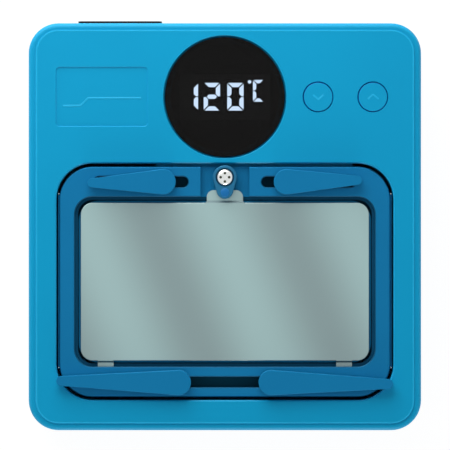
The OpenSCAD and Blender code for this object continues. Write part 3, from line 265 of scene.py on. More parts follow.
# raises the surface by a fine grain and hands back the roughness, which follows the same grain
def addGrain(tree, surface, place, grain, height, roughness, drawn):
    grit = addNode(tree, "ShaderNodeTexNoise", {"Vector": place, "Scale": 1 / (grain * mm), **drawn})
    rough = addNode(tree, "ShaderNodeMapRange", {
        "Value": grit.outputs["Fac"], "From Min": noises["grainRange"][0],
        "From Max": noises["grainRange"][1], "To Min": roughness[0], "To Max": roughness[1]})
    if height > 0:
        bump = addNode(tree, "ShaderNodeBump", {"Strength": 1.0, "Distance": height * mm,
                                                "Height": grit.outputs["Fac"]})
        tree.links.new(bump.outputs[0], surface.inputs["Normal"])
    return rough


# paints shade on the recessed part of a piece: another, darker tone on its steep or low faces
def paintSunkShade(tree, place, colour, sunkShade):
    spot = addNode(tree, "ShaderNodeSeparateXYZ", {0: place}).outputs
    facing = addNode(tree, "ShaderNodeTexCoord").outputs["Normal"]
    slope = addNode(tree, "ShaderNodeSeparateXYZ", {0: facing}).outputs["Z"]
    steep = addNode(tree, "ShaderNodeMath", {0: slope, 1: levelFace}, operation="LESS_THAN")
    low = addNode(tree, "ShaderNodeMath", {0: spot["Z"], 1: sunkShade["below"] * mm}, operation="LESS_THAN")
    part = addNode(tree, "ShaderNodeMath", {0: steep, 1: low}, operation="MAXIMUM")
    for i, axis in enumerate("XY"):
        inside = addNode(tree, "ShaderNodeMath", {0: spot[axis], 1: sunkShade["middle"][i] * mm,
                                                  2: sunkShade["half"][i] * mm}, operation="COMPARE")
        part = addNode(tree, "ShaderNodeMath", {0: part, 1: inside}, operation="MULTIPLY")
    return addNode(tree, "ShaderNodeMix", {0: part, 6: colour,
                                           7: linearColour(sunkShade["tone"])}, data_type="RGBA").outputs[2]


def makeFinish(name, tones, drift, roughness, grain, height, ior=1.5, metallic=0.0, specular=0.5,
               alpha=1.0, glow=0.0, sunkShade=None):
    material, tree, surface, place = startFinish(name)
    cloud = addNode(tree, "ShaderNodeTexNoise", {"Vector": place, "Scale": 1 / (drift * mm),
                                                 **noises["drift"]})
    spread = addNode(tree, "ShaderNodeMapRange", {"Value": cloud.outputs["Fac"],
                                                  "From Min": noises["driftRange"][0],
                                                  "From Max": noises["driftRange"][1]})
    colour = addNode(tree, "ShaderNodeMix", {0: spread, 6: linearColour(tones[0]),
                                             7: linearColour(tones[1])}, data_type="RGBA").outputs[2]
    # painted shade: the darker tone on the steep or low faces
    if sunkShade:
        colour = paintSunkShade(tree, place, colour, sunkShade)
    tree.links.new(colour, surface.inputs["Base Color"])
    rough = addGrain(tree, surface, place, grain, height, roughness, noises["grain"])
    tree.links.new(rough.outputs[0], surface.inputs["Roughness"])
    surface.inputs["Metallic"].default_value = metallic
    if metallic < 1:
        surface.inputs["IOR"].default_value = ior
        surface.inputs["Specular IOR Level"].default_value = specular
    surface.inputs["Alpha"].default_value = alpha
    if glow > 0:
        surface.inputs["Emission Color"].default_value = linearColour(tones[0])
        surface.inputs["Emission Strength"].default_value = glow
    return material


finish = {name: makeFinish(name, **spec) for name, spec in finishes.items()}

# Clear-anodised aluminium, lapped, satin grey-green, with painted reflection: broad soft bands of
# sheen, light and dark, painted into its colour.
lappedPlate = {
    "light": "#9cb8b8", "dark": "#869a9b",
    "period": 32.3,        # mm from one light band to the next
    "lean": -22.8,         # degrees
    "phase": 3.46,
    "wander": 0.5, "wanderDetail": 1.0, "wanderScale": 0.3,
    "roughness": (0.34, 0.42),
    "metallic": 0.7,
    "grain": 0.3, "grainDetail": 2.0, "height": 0.001,
    # along the ear's bend a dull, rougher, non-metal line, whose darker tone is painted shade: its
    # middle and half its reach, mm
    "bend": {"y": 6.5, "reach": 0.3, "half": 5.6, "tone": "#859c9f", "roughness": 0.8},
}


def makeLappedPlate(spec):
    material, tree, surface, place = startFinish("lappedAluminium")
    turned = addNode(tree, "ShaderNodeMapping", {"Vector": place,
                                                 "Rotation": (0, 0, math.radians(spec["lean"]))})
    # painted reflection: the light and dark bands of sheen
    # a wave texture of scale 1 repeats every pi / 10 units
    paintedSheenBands = addNode(tree, "ShaderNodeTexWave", {
        "Vector": turned, "Scale": math.pi / 10 / (spec["period"] * mm),
        "Distortion": spec["wander"], "Detail": spec["wanderDetail"],
        "Detail Scale": spec["wanderScale"], "Phase Offset": spec["phase"]},
        wave_profile="SIN", bands_direction="X")
    colour = addNode(tree, "ShaderNodeMix", {0: paintedSheenBands.outputs["Fac"], 6: linearColour(spec["dark"]),
                                             7: linearColour(spec["light"])}, data_type="RGBA")
    bend = spec["bend"]
    spot = addNode(tree, "ShaderNodeSeparateXYZ", {0: place}).outputs
    along = addNode(tree, "ShaderNodeMath", {0: spot["X"], 1: 0.0, 2: bend["half"] * mm},
                    operation="COMPARE")
    across = addNode(tree, "ShaderNodeMath", {0: spot["Y"], 1: bend["y"] * mm, 2: bend["reach"] * mm},
                     operation="COMPARE")
    bendDullAndShaded = addNode(tree, "ShaderNodeMath", {0: along, 1: across}, operation="MULTIPLY")
    # painted shade: the darker tone along the bend
    toned = addNode(tree, "ShaderNodeMix", {0: bendDullAndShaded, 6: colour.outputs[2],
                                            7: linearColour(bend["tone"])}, data_type="RGBA")
    tree.links.new(toned.outputs[2], surface.inputs["Base Color"])
    rough = addGrain(tree, surface, place, spec["grain"], spec["height"], spec["roughness"],
                     {"Detail": spec["grainDetail"]})
    rougher = addNode(tree, "ShaderNodeMapRange", {"Value": bendDullAndShaded, "To Min": rough,
                                                   "To Max": bend["roughness"]})
    tree.links.new(rougher.outputs[0], surface.inputs["Roughness"])
    metal = addNode(tree, "ShaderNodeMapRange", {"Value": bendDullAndShaded, "To Min": spec["metallic"],
                                                 "To Max": 0.0})
    tree.links.new(metal.outputs[0], surface.inputs["Metallic"])
    return material


finish["lappedAluminium"] = makeLappedPlate(lappedPlate)

armNames = ["rear_left", "rear_right", "front_left", "front_right"]
nodeFinish = {
    "mouldedAbs": ["top_cover"],
    "mouldedAbsKey": ["down_key", "up_key"],
    "mouldedAbsBase": ["bottom_case"],
    "blueAnodisedTray": ["heater_tray"],
    "blueAnodisedArm": [name + "_arm" for name in armNames],
    "paleAnodisedClip": ["plate_clip"],
    "brightNickel": ["clip_screw"],
    "zincPlate": ["case_screws", "display_board_screws", "power_board_screws", "tray_screws",
                  "lug_screws", "strip_clamp", "clamp_screws", "temperature_probe"]
                 + [name + part for name in armNames for part in ("_slider", "_ring")],
    "nitrileRubber": ["rubber_feet"],
    "blackNylon": ["mains_inlet", "key_switches", "transformer", "triac", "thermal_fuse"],
    "smokedAcrylic": ["display_lens"],
    "printedMask": ["display_mask"],
    "blackEpoxy": ["display_block"],
    "litSegments": ["display_digits"],
    "solderMask": ["display_board", "power_board"],
    "paleNylon": ["down_switch_button", "up_switch_button"],
    "tinnedBrass": ["inlet_pins"],
    "glazedCeramic": ["mains_fuse"],
    "yellowFilmBox": ["filter_capacitor"],
    "greenPolyamide": ["terminal_block"],
    "bareAluminium": ["heat_sink"],
    "charcoalPaintedShade": ["heater_block"],
    "blueSteelPaintedShade": ["heat_shield"],
    "steatite": ["tray_spacers", "lug_washers", "heating_strips"],
    "lappedAluminium": ["heat_plate"],
}
for material, names in nodeFinish.items():
    for name in names:
        nodes[name].data.materials.clear()
        nodes[name].data.materials.append(finish[material])
print("finishes on", sum(len(names) for names in nodeFinish.values()), "nodes")


# a geometry tree with named inputs, whose sockets take their kind from the value
def startTree(name, inputs):
    tree = bpy.data.node_groups.new(name, "GeometryNodeTree")
    tree.interface.new_socket("Geometry", in_out="INPUT", socket_type="NodeSocketGeometry")
    kinds = {int: "NodeSocketInt", float: "NodeSocketFloat", tuple: "NodeSocketVector",
             Vector: "NodeSocketVector", bpy.types.Material: "NodeSocketMaterial"}
    for label, value in inputs.items():
        socket = tree.interface.new_socket(label, in_out="INPUT", socket_type=kinds[type(value)])
        socket.default_value = value
    tree.interface.new_socket("Mesh", in_out="OUTPUT", socket_type="NodeSocketGeometry")
    return tree, addNode(tree, "NodeGroupInput").outputs


# the last nodes of every tree: real meshes, and their finish where the parts don't carry their own
def endTree(tree, mesh, material=None):
    last = addNode(tree, "GeometryNodeRealizeInstances", {"Geometry": mesh})
    if material:
        last = addNode(tree, "GeometryNodeSetMaterial", {"Geometry": last, "Material": material})
    addNode(tree, "NodeGroupOutput", {0: last})


# a body with this outline along a level path
def sweptAlong(tree, path, outline):
    upright = addNode(tree, "GeometryNodeSetCurveNormal", {"Curve": path}, mode="Z_UP")
    return addNode(tree, "GeometryNodeCurveToMesh", {"Curve": upright, "Profile Curve": outline,
                                                     "Fill Caps": True})


# a flattened ball, for a pip or a pin
def flatBall(tree, sides, radius, height, place):
    ball = addNode(tree, "GeometryNodeMeshUVSphere", {"Segments": sides, "Rings": sides // 2,
                                                      "Radius": 1.0})
    size = addNode(tree, "ShaderNodeCombineXYZ", {"X": radius, "Y": radius, "Z": height})
    return addNode(tree, "GeometryNodeTransform", {"Geometry": ball, "Scale": size,
                                                   "Translation": place})


# edges that join points in a row, or all the way round
def rowEdges(count, closed=False):
    return [(i, (i + 1) % count) for i in range(count if closed else count - 1)]


# Runs a tree on points, lines or levels and keeps the result as a plain mesh at the origin.
def growPiece(name, tree, values, points, edges=(), shares=None):
    start = bpy.data.meshes.new(name + "Start")
    start.from_pydata(points, edges, [])
    if shares:
        start.attributes.new("share", "FLOAT", "POINT").data.foreach_set("value", shares)
    piece = bpy.data.objects.new(name, start)
    scene.collection.objects.link(piece)
    modifier = piece.modifiers.new("build", "NODES")
    modifier.node_group = tree
    for item in tree.interface.items_tree:
        if item.in_out == "INPUT" and item.name in values:
            modifier[item.identifier] = values[item.name]
    made = piece.evaluated_get(bpy.context.evaluated_depsgraph_get())
    mesh = bpy.data.meshes.new_from_object(made)
    piece.modifiers.remove(modifier)
    piece.data = mesh
    return piece


shading = {
    "merge": 0.0005,       # points closer than this become one, mm
    "flat": 0.2,           # faces nearer to one plane than this become one, degrees
    # the angles below which edges look round, degrees
    "hull": 40, "turned": 35, "cut": 35, "swept": 40, "screw": 30,
}


def shadePiece(piece, kind):
    piece.data.shade_smooth()
    piece.data.set_sharp_from_angle(angle=math.radians(shading[kind]))


# the same for a piece whose doubles and slivers have to go first, and whose flat faces stay flat
def cleanPiece(piece, kind):
    edit = bmesh.new()
    edit.from_mesh(piece.data)
    bmesh.ops.remove_doubles(edit, verts=edit.verts, dist=shading["merge"] * mm)
    bmesh.ops.dissolve_limit(edit, angle_limit=math.radians(shading["flat"]), verts=edit.verts,
                             edges=edit.edges)
    edit.to_mesh(piece.data)
    edit.free()
    shadePiece(piece, kind)
    piece.modifiers.new("flatFaces", "WEIGHTED_NORMAL").keep_sharp = True


# a place or size in mm as plain numbers in metres
def inMetres(place):
    return tuple(value * mm for value in place)


# the middle of a CAD node, at a height in mm
def middleOf(name, level):
    low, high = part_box(name)
    return Vector(((low[0] + high[0]) / 2, (low[1] + high[1]) / 2, level * mm))


def placePiece(piece, body, slot, *replaced):
    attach(piece, body)
    if replaced:
        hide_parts(*replaced)


# Arms: each is the hull of a stack of rings at its pivot and another at its tip, with its upper edge
# just rounded.
arms = {
    "thick": 2.0,          # mm
    "lift": 27.3,          # height of the underside, mm
    "roll": 0.06,          # width of the rounded edge, as a share of the radius there
    "edge": 0.2,           # its height, mm
    "steps": 5,
    "sides": 72,
    "rear": {"pivot": 3.3, "tip": 1.17, "length": 18.4},
    "front": {"pivot": 3.25, "tip": 1.25, "length": 30.35},
    "turns": {"rear_left": 181, "rear_right": 1.2, "front_left": 179.2, "front_right": -0.7},
}


# the hull of two stacks of rings, one at the origin and one along x, whose rings shrink by the shares
# that the levels carry
def taperedHull(tree, given):
    share = addNode(tree, "GeometryNodeInputNamedAttribute", {"Name": "share"}, data_type="FLOAT")
    ring = addNode(tree, "GeometryNodeMeshCircle", {"Vertices": given["Sides"], "Radius": 1.0})
    stacks = []
    for radius in ("Pivot radius", "Tip radius"):
        spread = addNode(tree, "ShaderNodeMath", {0: share, 1: given[radius]}, operation="MULTIPLY")
        size = addNode(tree, "ShaderNodeCombineXYZ", {"X": spread, "Y": spread, "Z": spread})
        stack = addNode(tree, "GeometryNodeInstanceOnPoints", {
            "Points": given["Geometry"], "Instance": ring, "Scale": size})
        stacks.append(addNode(tree, "GeometryNodeRealizeInstances", {"Geometry": stack}))
    along = addNode(tree, "ShaderNodeCombineXYZ", {"X": given["Length"]})
    stacks[1] = addNode(tree, "GeometryNodeTransform", {"Geometry": stacks[1], "Translation": along})
    rings = addNode(tree, "GeometryNodeJoinGeometry", {0: stacks})
    return addNode(tree, "GeometryNodeConvexHull", {0: rings})


# turns a piece about its pivot and puts it there
def onPivot(tree, piece, given):
    turn = addNode(tree, "ShaderNodeCombineXYZ", {"Z": given["Turn"]})
    return addNode(tree, "GeometryNodeTransform", {"Geometry": piece, "Translation": given["Pivot"],
                                                   "Rotation": turn})


# the levels of a slab with a rounded upper edge, and the share of its radius at each
def roundedLevels(thick, edge, roll, steps):
    levels = [(0, 0, 0)]
    shares = [1.0]
    for i in range(steps + 1):
        angle = math.pi / 2 * i / steps
        levels.append((0, 0, (thick - edge * (1 - math.sin(angle))) * mm))
        shares.append(1 - roll * (1 - math.cos(angle)))
    return levels, shares


armTree, given = startTree("taperedArm", {"Pivot radius": 1.0, "Tip radius": 1.0, "Length": 1.0,
                                          "Sides": 32, "Turn": 0.0, "Pivot": (0.0, 0.0, 0.0),
                                          "Finish": finish["blueAnodisedArm"]})
endTree(armTree, onPivot(armTree, taperedHull(armTree, given), given), given["Finish"])

# Studs: turned steel pins with a groove for the ring, pressed into the arms. The outline is in radius
# and height, mm.
studs = {
    "sides": 32,
    "outline": [(0, 21.8), (0.6, 21.8), (0.8, 22.0), (0.8, 22.25), (0.5, 22.25), (0.5, 22.775),
                (0.8, 22.775), (0.8, 27.9), (0, 27.9)],
}


# a closed turned shape about an upright axis; its outline starts and ends on the axis
def turnPiece(name, spec, centre, material):
    profile = spec["outline"]
    sides = spec["sides"]
    points = [(centre.x, centre.y, profile[0][1] * mm), (centre.x, centre.y, profile[-1][1] * mm)]
    faces = []
    for radius, height in profile[1:-1]:
        for i in range(sides):
            angle = 2 * math.pi * i / sides
            points.append((centre.x + radius * mm * math.cos(angle),
                           centre.y + radius * mm * math.sin(angle), height * mm))
    rows = len(profile) - 2
    for i in range(sides):
        j = (i + 1) % sides
        faces.append((0, 2 + j, 2 + i))
        faces.append((1, 2 + (rows - 1) * sides + i, 2 + (rows - 1) * sides + j))
        for row in range(rows - 1):
            at = 2 + row * sides
            faces.append((at + i, at + j, at + sides + j, at + sides + i))
    mesh = bpy.data.meshes.new(name)
    mesh.from_pydata(points, [], faces)
    mesh.materials.append(material)
    piece = bpy.data.objects.new(name, mesh)
    scene.collection.objects.link(piece)
    cleanPiece(piece, "turned")
    return piece


levels, shares = roundedLevels(arms["thick"], arms["edge"], arms["roll"], arms["steps"])
for name, degrees in arms["turns"].items():
    size = arms[name.split("_")[0]]
    pivot = middleOf(name + "_ring", arms["lift"])
    blade = growPiece(name + "_blade", armTree, {
        "Pivot radius": size["pivot"] * mm, "Tip radius": size["tip"] * mm,
        "Length": size["length"] * mm, "Sides": arms["sides"], "Turn": math.radians(degrees),
        "Pivot": pivot, "Finish": finish["blueAnodisedArm"]}, levels, shares=shares)
    cleanPiece(blade, "hull")
    stud = turnPiece(name + "_stud", studs, pivot, finish["zincPlate"])
    placePiece(blade, name + "_arm", "arm_aluminium", name + "_arm")
    placePiece(stud, name + "_arm", "plated_steel")
print("arms made")

# Clip: a hull like the arms', on a hub, with a recess for its screw's head, a bore and a domed pip.
# Sizes in mm; the roll is a share, as the arms' is.
clip = {
    "pivot": 3.12, "tip": 2.15, "length": 3.43,
    "lift": 25.95, "thick": 2.0, "edge": 0.3, "roll": 0.09, "steps": 5, "sides": 72,
    "hub": 2.9, "hubHigh": 1.0,
    "recess": 2.4, "recessDeep": 0.9, "bore": 1.06,
    "pip": 1.15, "pipHigh": 0.27, "pipAt": 3.95, "pipSides": 48,
}
clipValues = {
    "Pivot radius": clip["pivot"] * mm, "Tip radius": clip["tip"] * mm, "Length": clip["length"] * mm,
    "Sides": clip["sides"], "Thickness": clip["thick"] * mm, "Hub radius": clip["hub"] * mm,
    "Hub height": clip["hubHigh"] * mm, "Recess radius": clip["recess"] * mm,
    "Recess depth": clip["recessDeep"] * mm, "Bore radius": clip["bore"] * mm,
    "Pip radius": clip["pip"] * mm, "Pip height": clip["pipHigh"] * mm, "Pip at": clip["pipAt"] * mm,
    "Turn": -math.pi / 2, "Pivot": middleOf("clip_screw", clip["lift"]),
    "Finish": finish["paleAnodisedClip"], "Pip finish": finish["blueEnamel"],
}
clipTree, given = startTree("clipWithPip", clipValues)
hull = taperedHull(clipTree, given)
top = addNode(clipTree, "ShaderNodeCombineXYZ", {"Z": given["Thickness"]})
rods = []
for radius, deep, centre in (("Hub radius", "Hub height", None),
                             ("Recess radius", "Recess depth", top),
                             ("Bore radius", "Thickness", None)):
    tall = addNode(clipTree, "ShaderNodeMath", {0: given[deep], 1: given[deep]}, operation="ADD")
    rod = addNode(clipTree, "GeometryNodeMeshCylinder", {
        "Vertices": given["Sides"], "Radius": given[radius], "Depth": tall})
    if centre:
        rod = addNode(clipTree, "GeometryNodeTransform", {"Geometry": rod, "Translation": centre})
    rods.append(rod)
solid = addNode(clipTree, "GeometryNodeMeshBoolean", {"Mesh 2": [hull, rods[0]]}, operation="UNION",
                solver="EXACT")
bored = addNode(clipTree, "GeometryNodeMeshBoolean", {"Mesh 1": solid, "Mesh 2": rods[1:]},
                operation="DIFFERENCE", solver="EXACT")
made = addNode(clipTree, "GeometryNodeSetMaterial", {"Geometry": bored, "Material": given["Finish"]})
pipPlace = addNode(clipTree, "ShaderNodeCombineXYZ", {"X": given["Pip at"], "Z": given["Thickness"]})
pip = flatBall(clipTree, clip["pipSides"], given["Pip radius"], given["Pip height"], pipPlace)
pipMade = addNode(clipTree, "GeometryNodeSetMaterial", {"Geometry": pip,
                                                        "Material": given["Pip finish"]})
both = addNode(clipTree, "GeometryNodeJoinGeometry", {0: [made, pipMade]})
endTree(clipTree, onPivot(clipTree, both, given))
levels, shares = roundedLevels(clip["thick"], clip["edge"], clip["roll"], clip["steps"])
piece = growPiece("clip_body", clipTree, clipValues, levels, shares=shares)
cleanPiece(piece, "cut")
placePiece(piece, "plate_clip", "arm_aluminium", "plate_clip")
print("clip made")

# Keys: a flat cap with a soft rim. Its wall drops to a step, far down, that fills the cover's hole up
# to a hair, and a flange holds it from below. The outline is in radius and height, mm.
keys = {
    "sides": 96,
    "outline": [(0, 23.65), (1.5, 23.65), (1.5, 24.0), (4.69, 24.0), (4.69, 24.7), (3.9, 24.7),
                (3.9, 25.3), (3.73, 25.3), (3.73, 27.0), (3.71, 27.05), (3.66, 27.085),
                (3.58, 27.1), (0, 27.1)],
}
for name in ("down_key", "up_key"):
    cap = turnPiece(name + "_cap", keys, middleOf(name, 0), finish["mouldedAbsKey"])
    placePiece(cap, name, "key_plastic", name)
print("keys made")

# Side rails: a strip in the gap on each side of the tray, with a bright pin at each end. Sizes in mm.
rails = {
    "x": 43.18, "front": -36.65, "rear": 8.55,
    "level": 24.3,         # height of the strip's middle
    "wide": 0.46, "high": 1.8, "soft": 0.12, "softSteps": 3,
    "pin": 0.27, "pinHigh": 0.3, "pinRise": 0.95, "pinSides": 24,
}
railValues = {
    "Width": rails["wide"] * mm, "Height": rails["high"] * mm, "Rounding": rails["soft"] * mm,
    "Pin radius": rails["pin"] * mm, "Pin height": rails["pinHigh"] * mm,
    "Pin rise": inMetres((0, 0, rails["pinRise"])),
    "Finish": finish["blueAnodised"], "Pin finish": finish["brightNickel"],
}
railTree, given = startTree("railWithPins", railValues)
line = addNode(railTree, "GeometryNodeMeshToCurve", {0: given["Geometry"]})
box = addNode(railTree, "GeometryNodeCurvePrimitiveQuadrilateral", {"Width": given["Width"],
                                                                   "Height": given["Height"]})
softBox = addNode(railTree, "GeometryNodeFilletCurve", {
    "Curve": box, "Count": rails["softSteps"], "Radius": given["Rounding"]}, mode="POLY")
strip = sweptAlong(railTree, line, softBox)
stripMade = addNode(railTree, "GeometryNodeSetMaterial", {"Geometry": strip,
                                                          "Material": given["Finish"]})
pin = flatBall(railTree, rails["pinSides"], given["Pin radius"], given["Pin height"],
               given["Pin rise"])
pins = addNode(railTree, "GeometryNodeInstanceOnPoints", {"Points": given["Geometry"],
                                                          "Instance": pin})
pinsMade = addNode(railTree, "GeometryNodeSetMaterial", {"Geometry": pins,
                                                         "Material": given["Pin finish"]})
both = addNode(railTree, "GeometryNodeJoinGeometry", {0: [stripMade, pinsMade]})
endTree(railTree, both)
corners = [(x * rails["x"] * mm, rails[end] * mm, rails["level"] * mm)
           for x in (-1, 1) for end in ("front", "rear")]
piece = growPiece("side_rails", railTree, railValues, corners, [(0, 1), (2, 3)])
shadePiece(piece, "swept")
placePiece(piece, "case", "blue_aluminium")
print("side rails made")

# Drip frame: a thin pressed angle round the heater block, whose lip closes most of the gap to the
# tray, with a notch over the temperature probe. Sizes in mm.
dripFrame = {
    "inside": (70.2, 36.2), "corner": 2.1, "cornerSteps": 8,
    "middle": (*trayMiddle, 24.2),
    # out from the block and down from the lip
    "section": [(0.0, 0.0), (2.95, 0.0), (2.95, 0.4), (0.4, 0.4), (0.4, 2.0), (0.0, 2.0)],
    "notch": (3.6, 3.0, 5.0), "notchAt": (18.5, 4.8, 23.4),
}
frameValues = {
    "Width": dripFrame["inside"][0] * mm, "Depth": dripFrame["inside"][1] * mm,
    "Corner radius": dripFrame["corner"] * mm, "Middle": inMetres(dripFrame["middle"]),
    "Notch": inMetres(dripFrame["notch"]), "Notch at": inMetres(dripFrame["notchAt"]),
    "Finish": finish["blueAnodised"],
}
frameTree, given = startTree("sweptFrame", frameValues)
loop = addNode(frameTree, "GeometryNodeCurvePrimitiveQuadrilateral", {"Width": given["Width"],
                                                                     "Height": given["Depth"]})
path = addNode(frameTree, "GeometryNodeFilletCurve", {
    "Curve": loop, "Count": dripFrame["cornerSteps"], "Radius": given["Corner radius"]}, mode="POLY")
section = addNode(frameTree, "GeometryNodeMeshToCurve", {0: given["Geometry"]})
angle = sweptAlong(frameTree, path, section)
placed = addNode(frameTree, "GeometryNodeTransform", {"Geometry": angle,
                                                      "Translation": given["Middle"]})
notch = addNode(frameTree, "GeometryNodeMeshCube", {"Size": given["Notch"]})
notchPlaced = addNode(frameTree, "GeometryNodeTransform", {"Geometry": notch,
                                                           "Translation": given["Notch at"]})
notched = addNode(frameTree, "GeometryNodeMeshBoolean", {"Mesh 1": placed, "Mesh 2": notchPlaced},
                  operation="DIFFERENCE", solver="EXACT")
endTree(frameTree, notched, given["Finish"])
outline = [(x * mm, y * mm, 0.0) for x, y in dripFrame["section"]]
piece = growPiece("drip_frame", frameTree, frameValues, outline, rowEdges(len(outline), closed=True))
cleanPiece(piece, "cut")
placePiece(piece, "case", "blue_aluminium")
print("drip frame made")

# Screws: a domed head with a cross recess, and a shank with a rolled thread. Sizes in mm; the shares
# are of the head's radius and height, or of the shank's radius.
screwShares = {
    "dome": ((1.0, 0.0), (1.0, 0.36), (0.96, 0.6), (0.85, 0.82), (0.66, 0.95), (0.4, 1.0)),
    "reach": 0.62,         # half the length of each bar of the cross
    "bar": 0.26,           # its width
    "deep": 0.42,
    "pitAt": 0.51,
    "pit": 0.16,
    "pitDeep": 0.62,
    "core": 0.86,
    "crest": 0.88,
    "ridge": 0.14,
    "threaded": 0.94,      # of the shank's length
    "floorReach": 0.05,    # how far from the pits' floor a face still belongs to it
    "apart": 2.1,          # points of one screw are closer than this
}
screwSides = {"head": 40, "pit": 16, "core": 24, "ridge": 3, "turn": 16}
screwGroups = {
    "case_screws": {"shank": 1.4, "head": 2.66, "high": 1.82, "up": True},
    "tray_screws": {"shank": 1.25, "head": 2.375, "high": 1.625, "up": True},
    "display_board_screws": {"shank": 1.0, "head": 1.9, "high": 1.3, "up": True},
    "lug_screws": {"shank": 1.0, "head": 1.9, "high": 1.3, "up": True},
    "clamp_screws": {"shank": 1.0, "head": 1.9, "high": 1.3, "up": True},
    "power_board_screws": {"shank": 1.0, "head": 1.9, "high": 1.3, "up": False},
    "clip_screw": {"shank": 1.0, "head": 2.16, "high": 1.35, "up": False},
}
threadPitch = 0.7   # mm
screwTree, given = startTree("crossHeadScrew", {"Head radius": 1.0, "Head height": 1.0,
                                                "Shank radius": 1.0, "Shank length": 1.0,
                                                "Pitch": 1.0, "Flip": 0.0,
                                                "Finish": finish["zincPlate"],
                                                "Recess shade finish": finish["recessPaintedShade"]})
rings = []
for wide, level in screwShares["dome"]:
    ring = addNode(screwTree, "GeometryNodeMeshCircle", {"Vertices": screwSides["head"],
                                                         "Radius": wide})
    rings.append(addNode(screwTree, "GeometryNodeTransform", {"Geometry": ring,
                                                              "Translation": (0, 0, level)}))
allRings = addNode(screwTree, "GeometryNodeJoinGeometry", {0: rings})
dome = addNode(screwTree, "GeometryNodeConvexHull", {0: allRings})
cutters = []
for i in range(2):
    bar = addNode(screwTree, "GeometryNodeMeshCube", {
        "Size": (2 * screwShares["reach"], screwShares["bar"], 2 * screwShares["deep"])})
    cutters.append(addNode(screwTree, "GeometryNodeTransform", {
        "Geometry": bar, "Translation": (0, 0, 1), "Rotation": (0, 0, i * math.pi / 2)}))
away = screwShares["pitAt"]
for i in range(4):
    pit = addNode(screwTree, "GeometryNodeMeshCylinder", {
        "Vertices": screwSides["pit"], "Radius": screwShares["pit"],
        "Depth": 2 * screwShares["pitDeep"]})
    cutters.append(addNode(screwTree, "GeometryNodeTransform", {
        "Geometry": pit, "Translation": (away * math.cos(i * math.pi / 2),
                                         away * math.sin(i * math.pi / 2), 1)}))
cut = addNode(screwTree, "GeometryNodeMeshBoolean", {"Mesh 1": dome, "Mesh 2": cutters},
              operation="DIFFERENCE", solver="EXACT")
plated = addNode(screwTree, "GeometryNodeSetMaterial", {"Geometry": cut, "Material": given["Finish"]})
spot, normal = [addNode(screwTree, "ShaderNodeSeparateXYZ", {0: addNode(screwTree, kind)})
                for kind in ("GeometryNodeInputPosition", "GeometryNodeInputNormal")]
# the floors of the pits lie at one level, and nothing else that faces up lies near it
atFloor = addNode(screwTree, "ShaderNodeMath", {
    0: spot.outputs["Z"], 1: 1 - screwShares["pitDeep"], 2: screwShares["floorReach"]},
    operation="COMPARE")
faceUp = addNode(screwTree, "ShaderNodeMath", {0: normal.outputs["Z"], 1: levelFace},
                 operation="GREATER_THAN")
pitFloor = addNode(screwTree, "ShaderNodeMath", {0: atFloor, 1: faceUp}, operation="MULTIPLY")
# painted shade on the pits' floors
recessShaded = addNode(screwTree, "GeometryNodeSetMaterial", {
    "Geometry": plated, "Selection": pitFloor, "Material": given["Recess shade finish"]})
headSize = addNode(screwTree, "ShaderNodeCombineXYZ", {
    "X": given["Head radius"], "Y": given["Head radius"], "Z": given["Head height"]})
head = addNode(screwTree, "GeometryNodeTransform", {"Geometry": recessShaded, "Scale": headSize})
# the shank is built upwards in shank radii, then turned down and scaled
tall = addNode(screwTree, "ShaderNodeMath", {0: given["Shank length"], 1: given["Shank radius"]},
               operation="DIVIDE")
end = addNode(screwTree, "ShaderNodeCombineXYZ", {"Z": tall})
axis = addNode(screwTree, "GeometryNodeCurvePrimitiveLine", {"Start": (0, 0, 0), "End": end})
coreRound = addNode(screwTree, "GeometryNodeCurvePrimitiveCircle", {
    "Resolution": screwSides["core"], "Radius": screwShares["core"]})
core = addNode(screwTree, "GeometryNodeCurveToMesh", {
    "Curve": axis, "Profile Curve": coreRound, "Fill Caps": True})
turns = addNode(screwTree, "ShaderNodeMath", {0: given["Shank length"], 1: given["Pitch"]},
                operation="DIVIDE")
threadTall = addNode(screwTree, "ShaderNodeMath", {0: tall, 1: screwShares["threaded"]},
                     operation="MULTIPLY")
helix = addNode(screwTree, "GeometryNodeCurveSpiral", {
    "Resolution": screwSides["turn"], "Rotations": turns, "Start Radius": screwShares["crest"],
    "End Radius": screwShares["crest"], "Height": threadTall})
ridge = addNode(screwTree, "GeometryNodeCurvePrimitiveCircle", {
    "Resolution": screwSides["ridge"], "Radius": screwShares["ridge"]})
thread = addNode(screwTree, "GeometryNodeCurveToMesh", {
    "Curve": helix, "Profile Curve": ridge, "Fill Caps": True})
shankParts = addNode(screwTree, "GeometryNodeJoinGeometry", {0: [core, thread]})
shankSize = addNode(screwTree, "ShaderNodeCombineXYZ", {
    "X": given["Shank radius"], "Y": given["Shank radius"], "Z": given["Shank radius"]})
shank = addNode(screwTree, "GeometryNodeTransform", {
    "Geometry": shankParts, "Rotation": (math.pi, 0, 0), "Scale": shankSize})
shankPlated = addNode(screwTree, "GeometryNodeSetMaterial", {"Geometry": shank,
                                                             "Material": given["Finish"]})
screw = addNode(screwTree, "GeometryNodeJoinGeometry", {0: [head, shankPlated]})
flip = addNode(screwTree, "ShaderNodeCombineXYZ", {"X": given["Flip"]})
onSites = addNode(screwTree, "GeometryNodeInstanceOnPoints", {
    "Points": given["Geometry"], "Instance": screw, "Rotation": flip})
endTree(screwTree, onSites)


# the middle of each screw in a CAD node, from its own points
def screwSites(name, headRadius):
    groups = []
    for vertex in nodes[name].data.vertices:
        spot = vertex.co.xy
        near = [group for group in groups
                if (group[0] - spot).length < screwShares["apart"] * headRadius]
        if near:
            near[0].append(spot.copy())
        else:
            groups.append([spot.copy()])
    sites = []
    for group in groups:
        xs = [spot.x for spot in group]
        ys = [spot.y for spot in group]
        sites.append(((min(xs) + max(xs)) / 2, (min(ys) + max(ys)) / 2))
    return sites


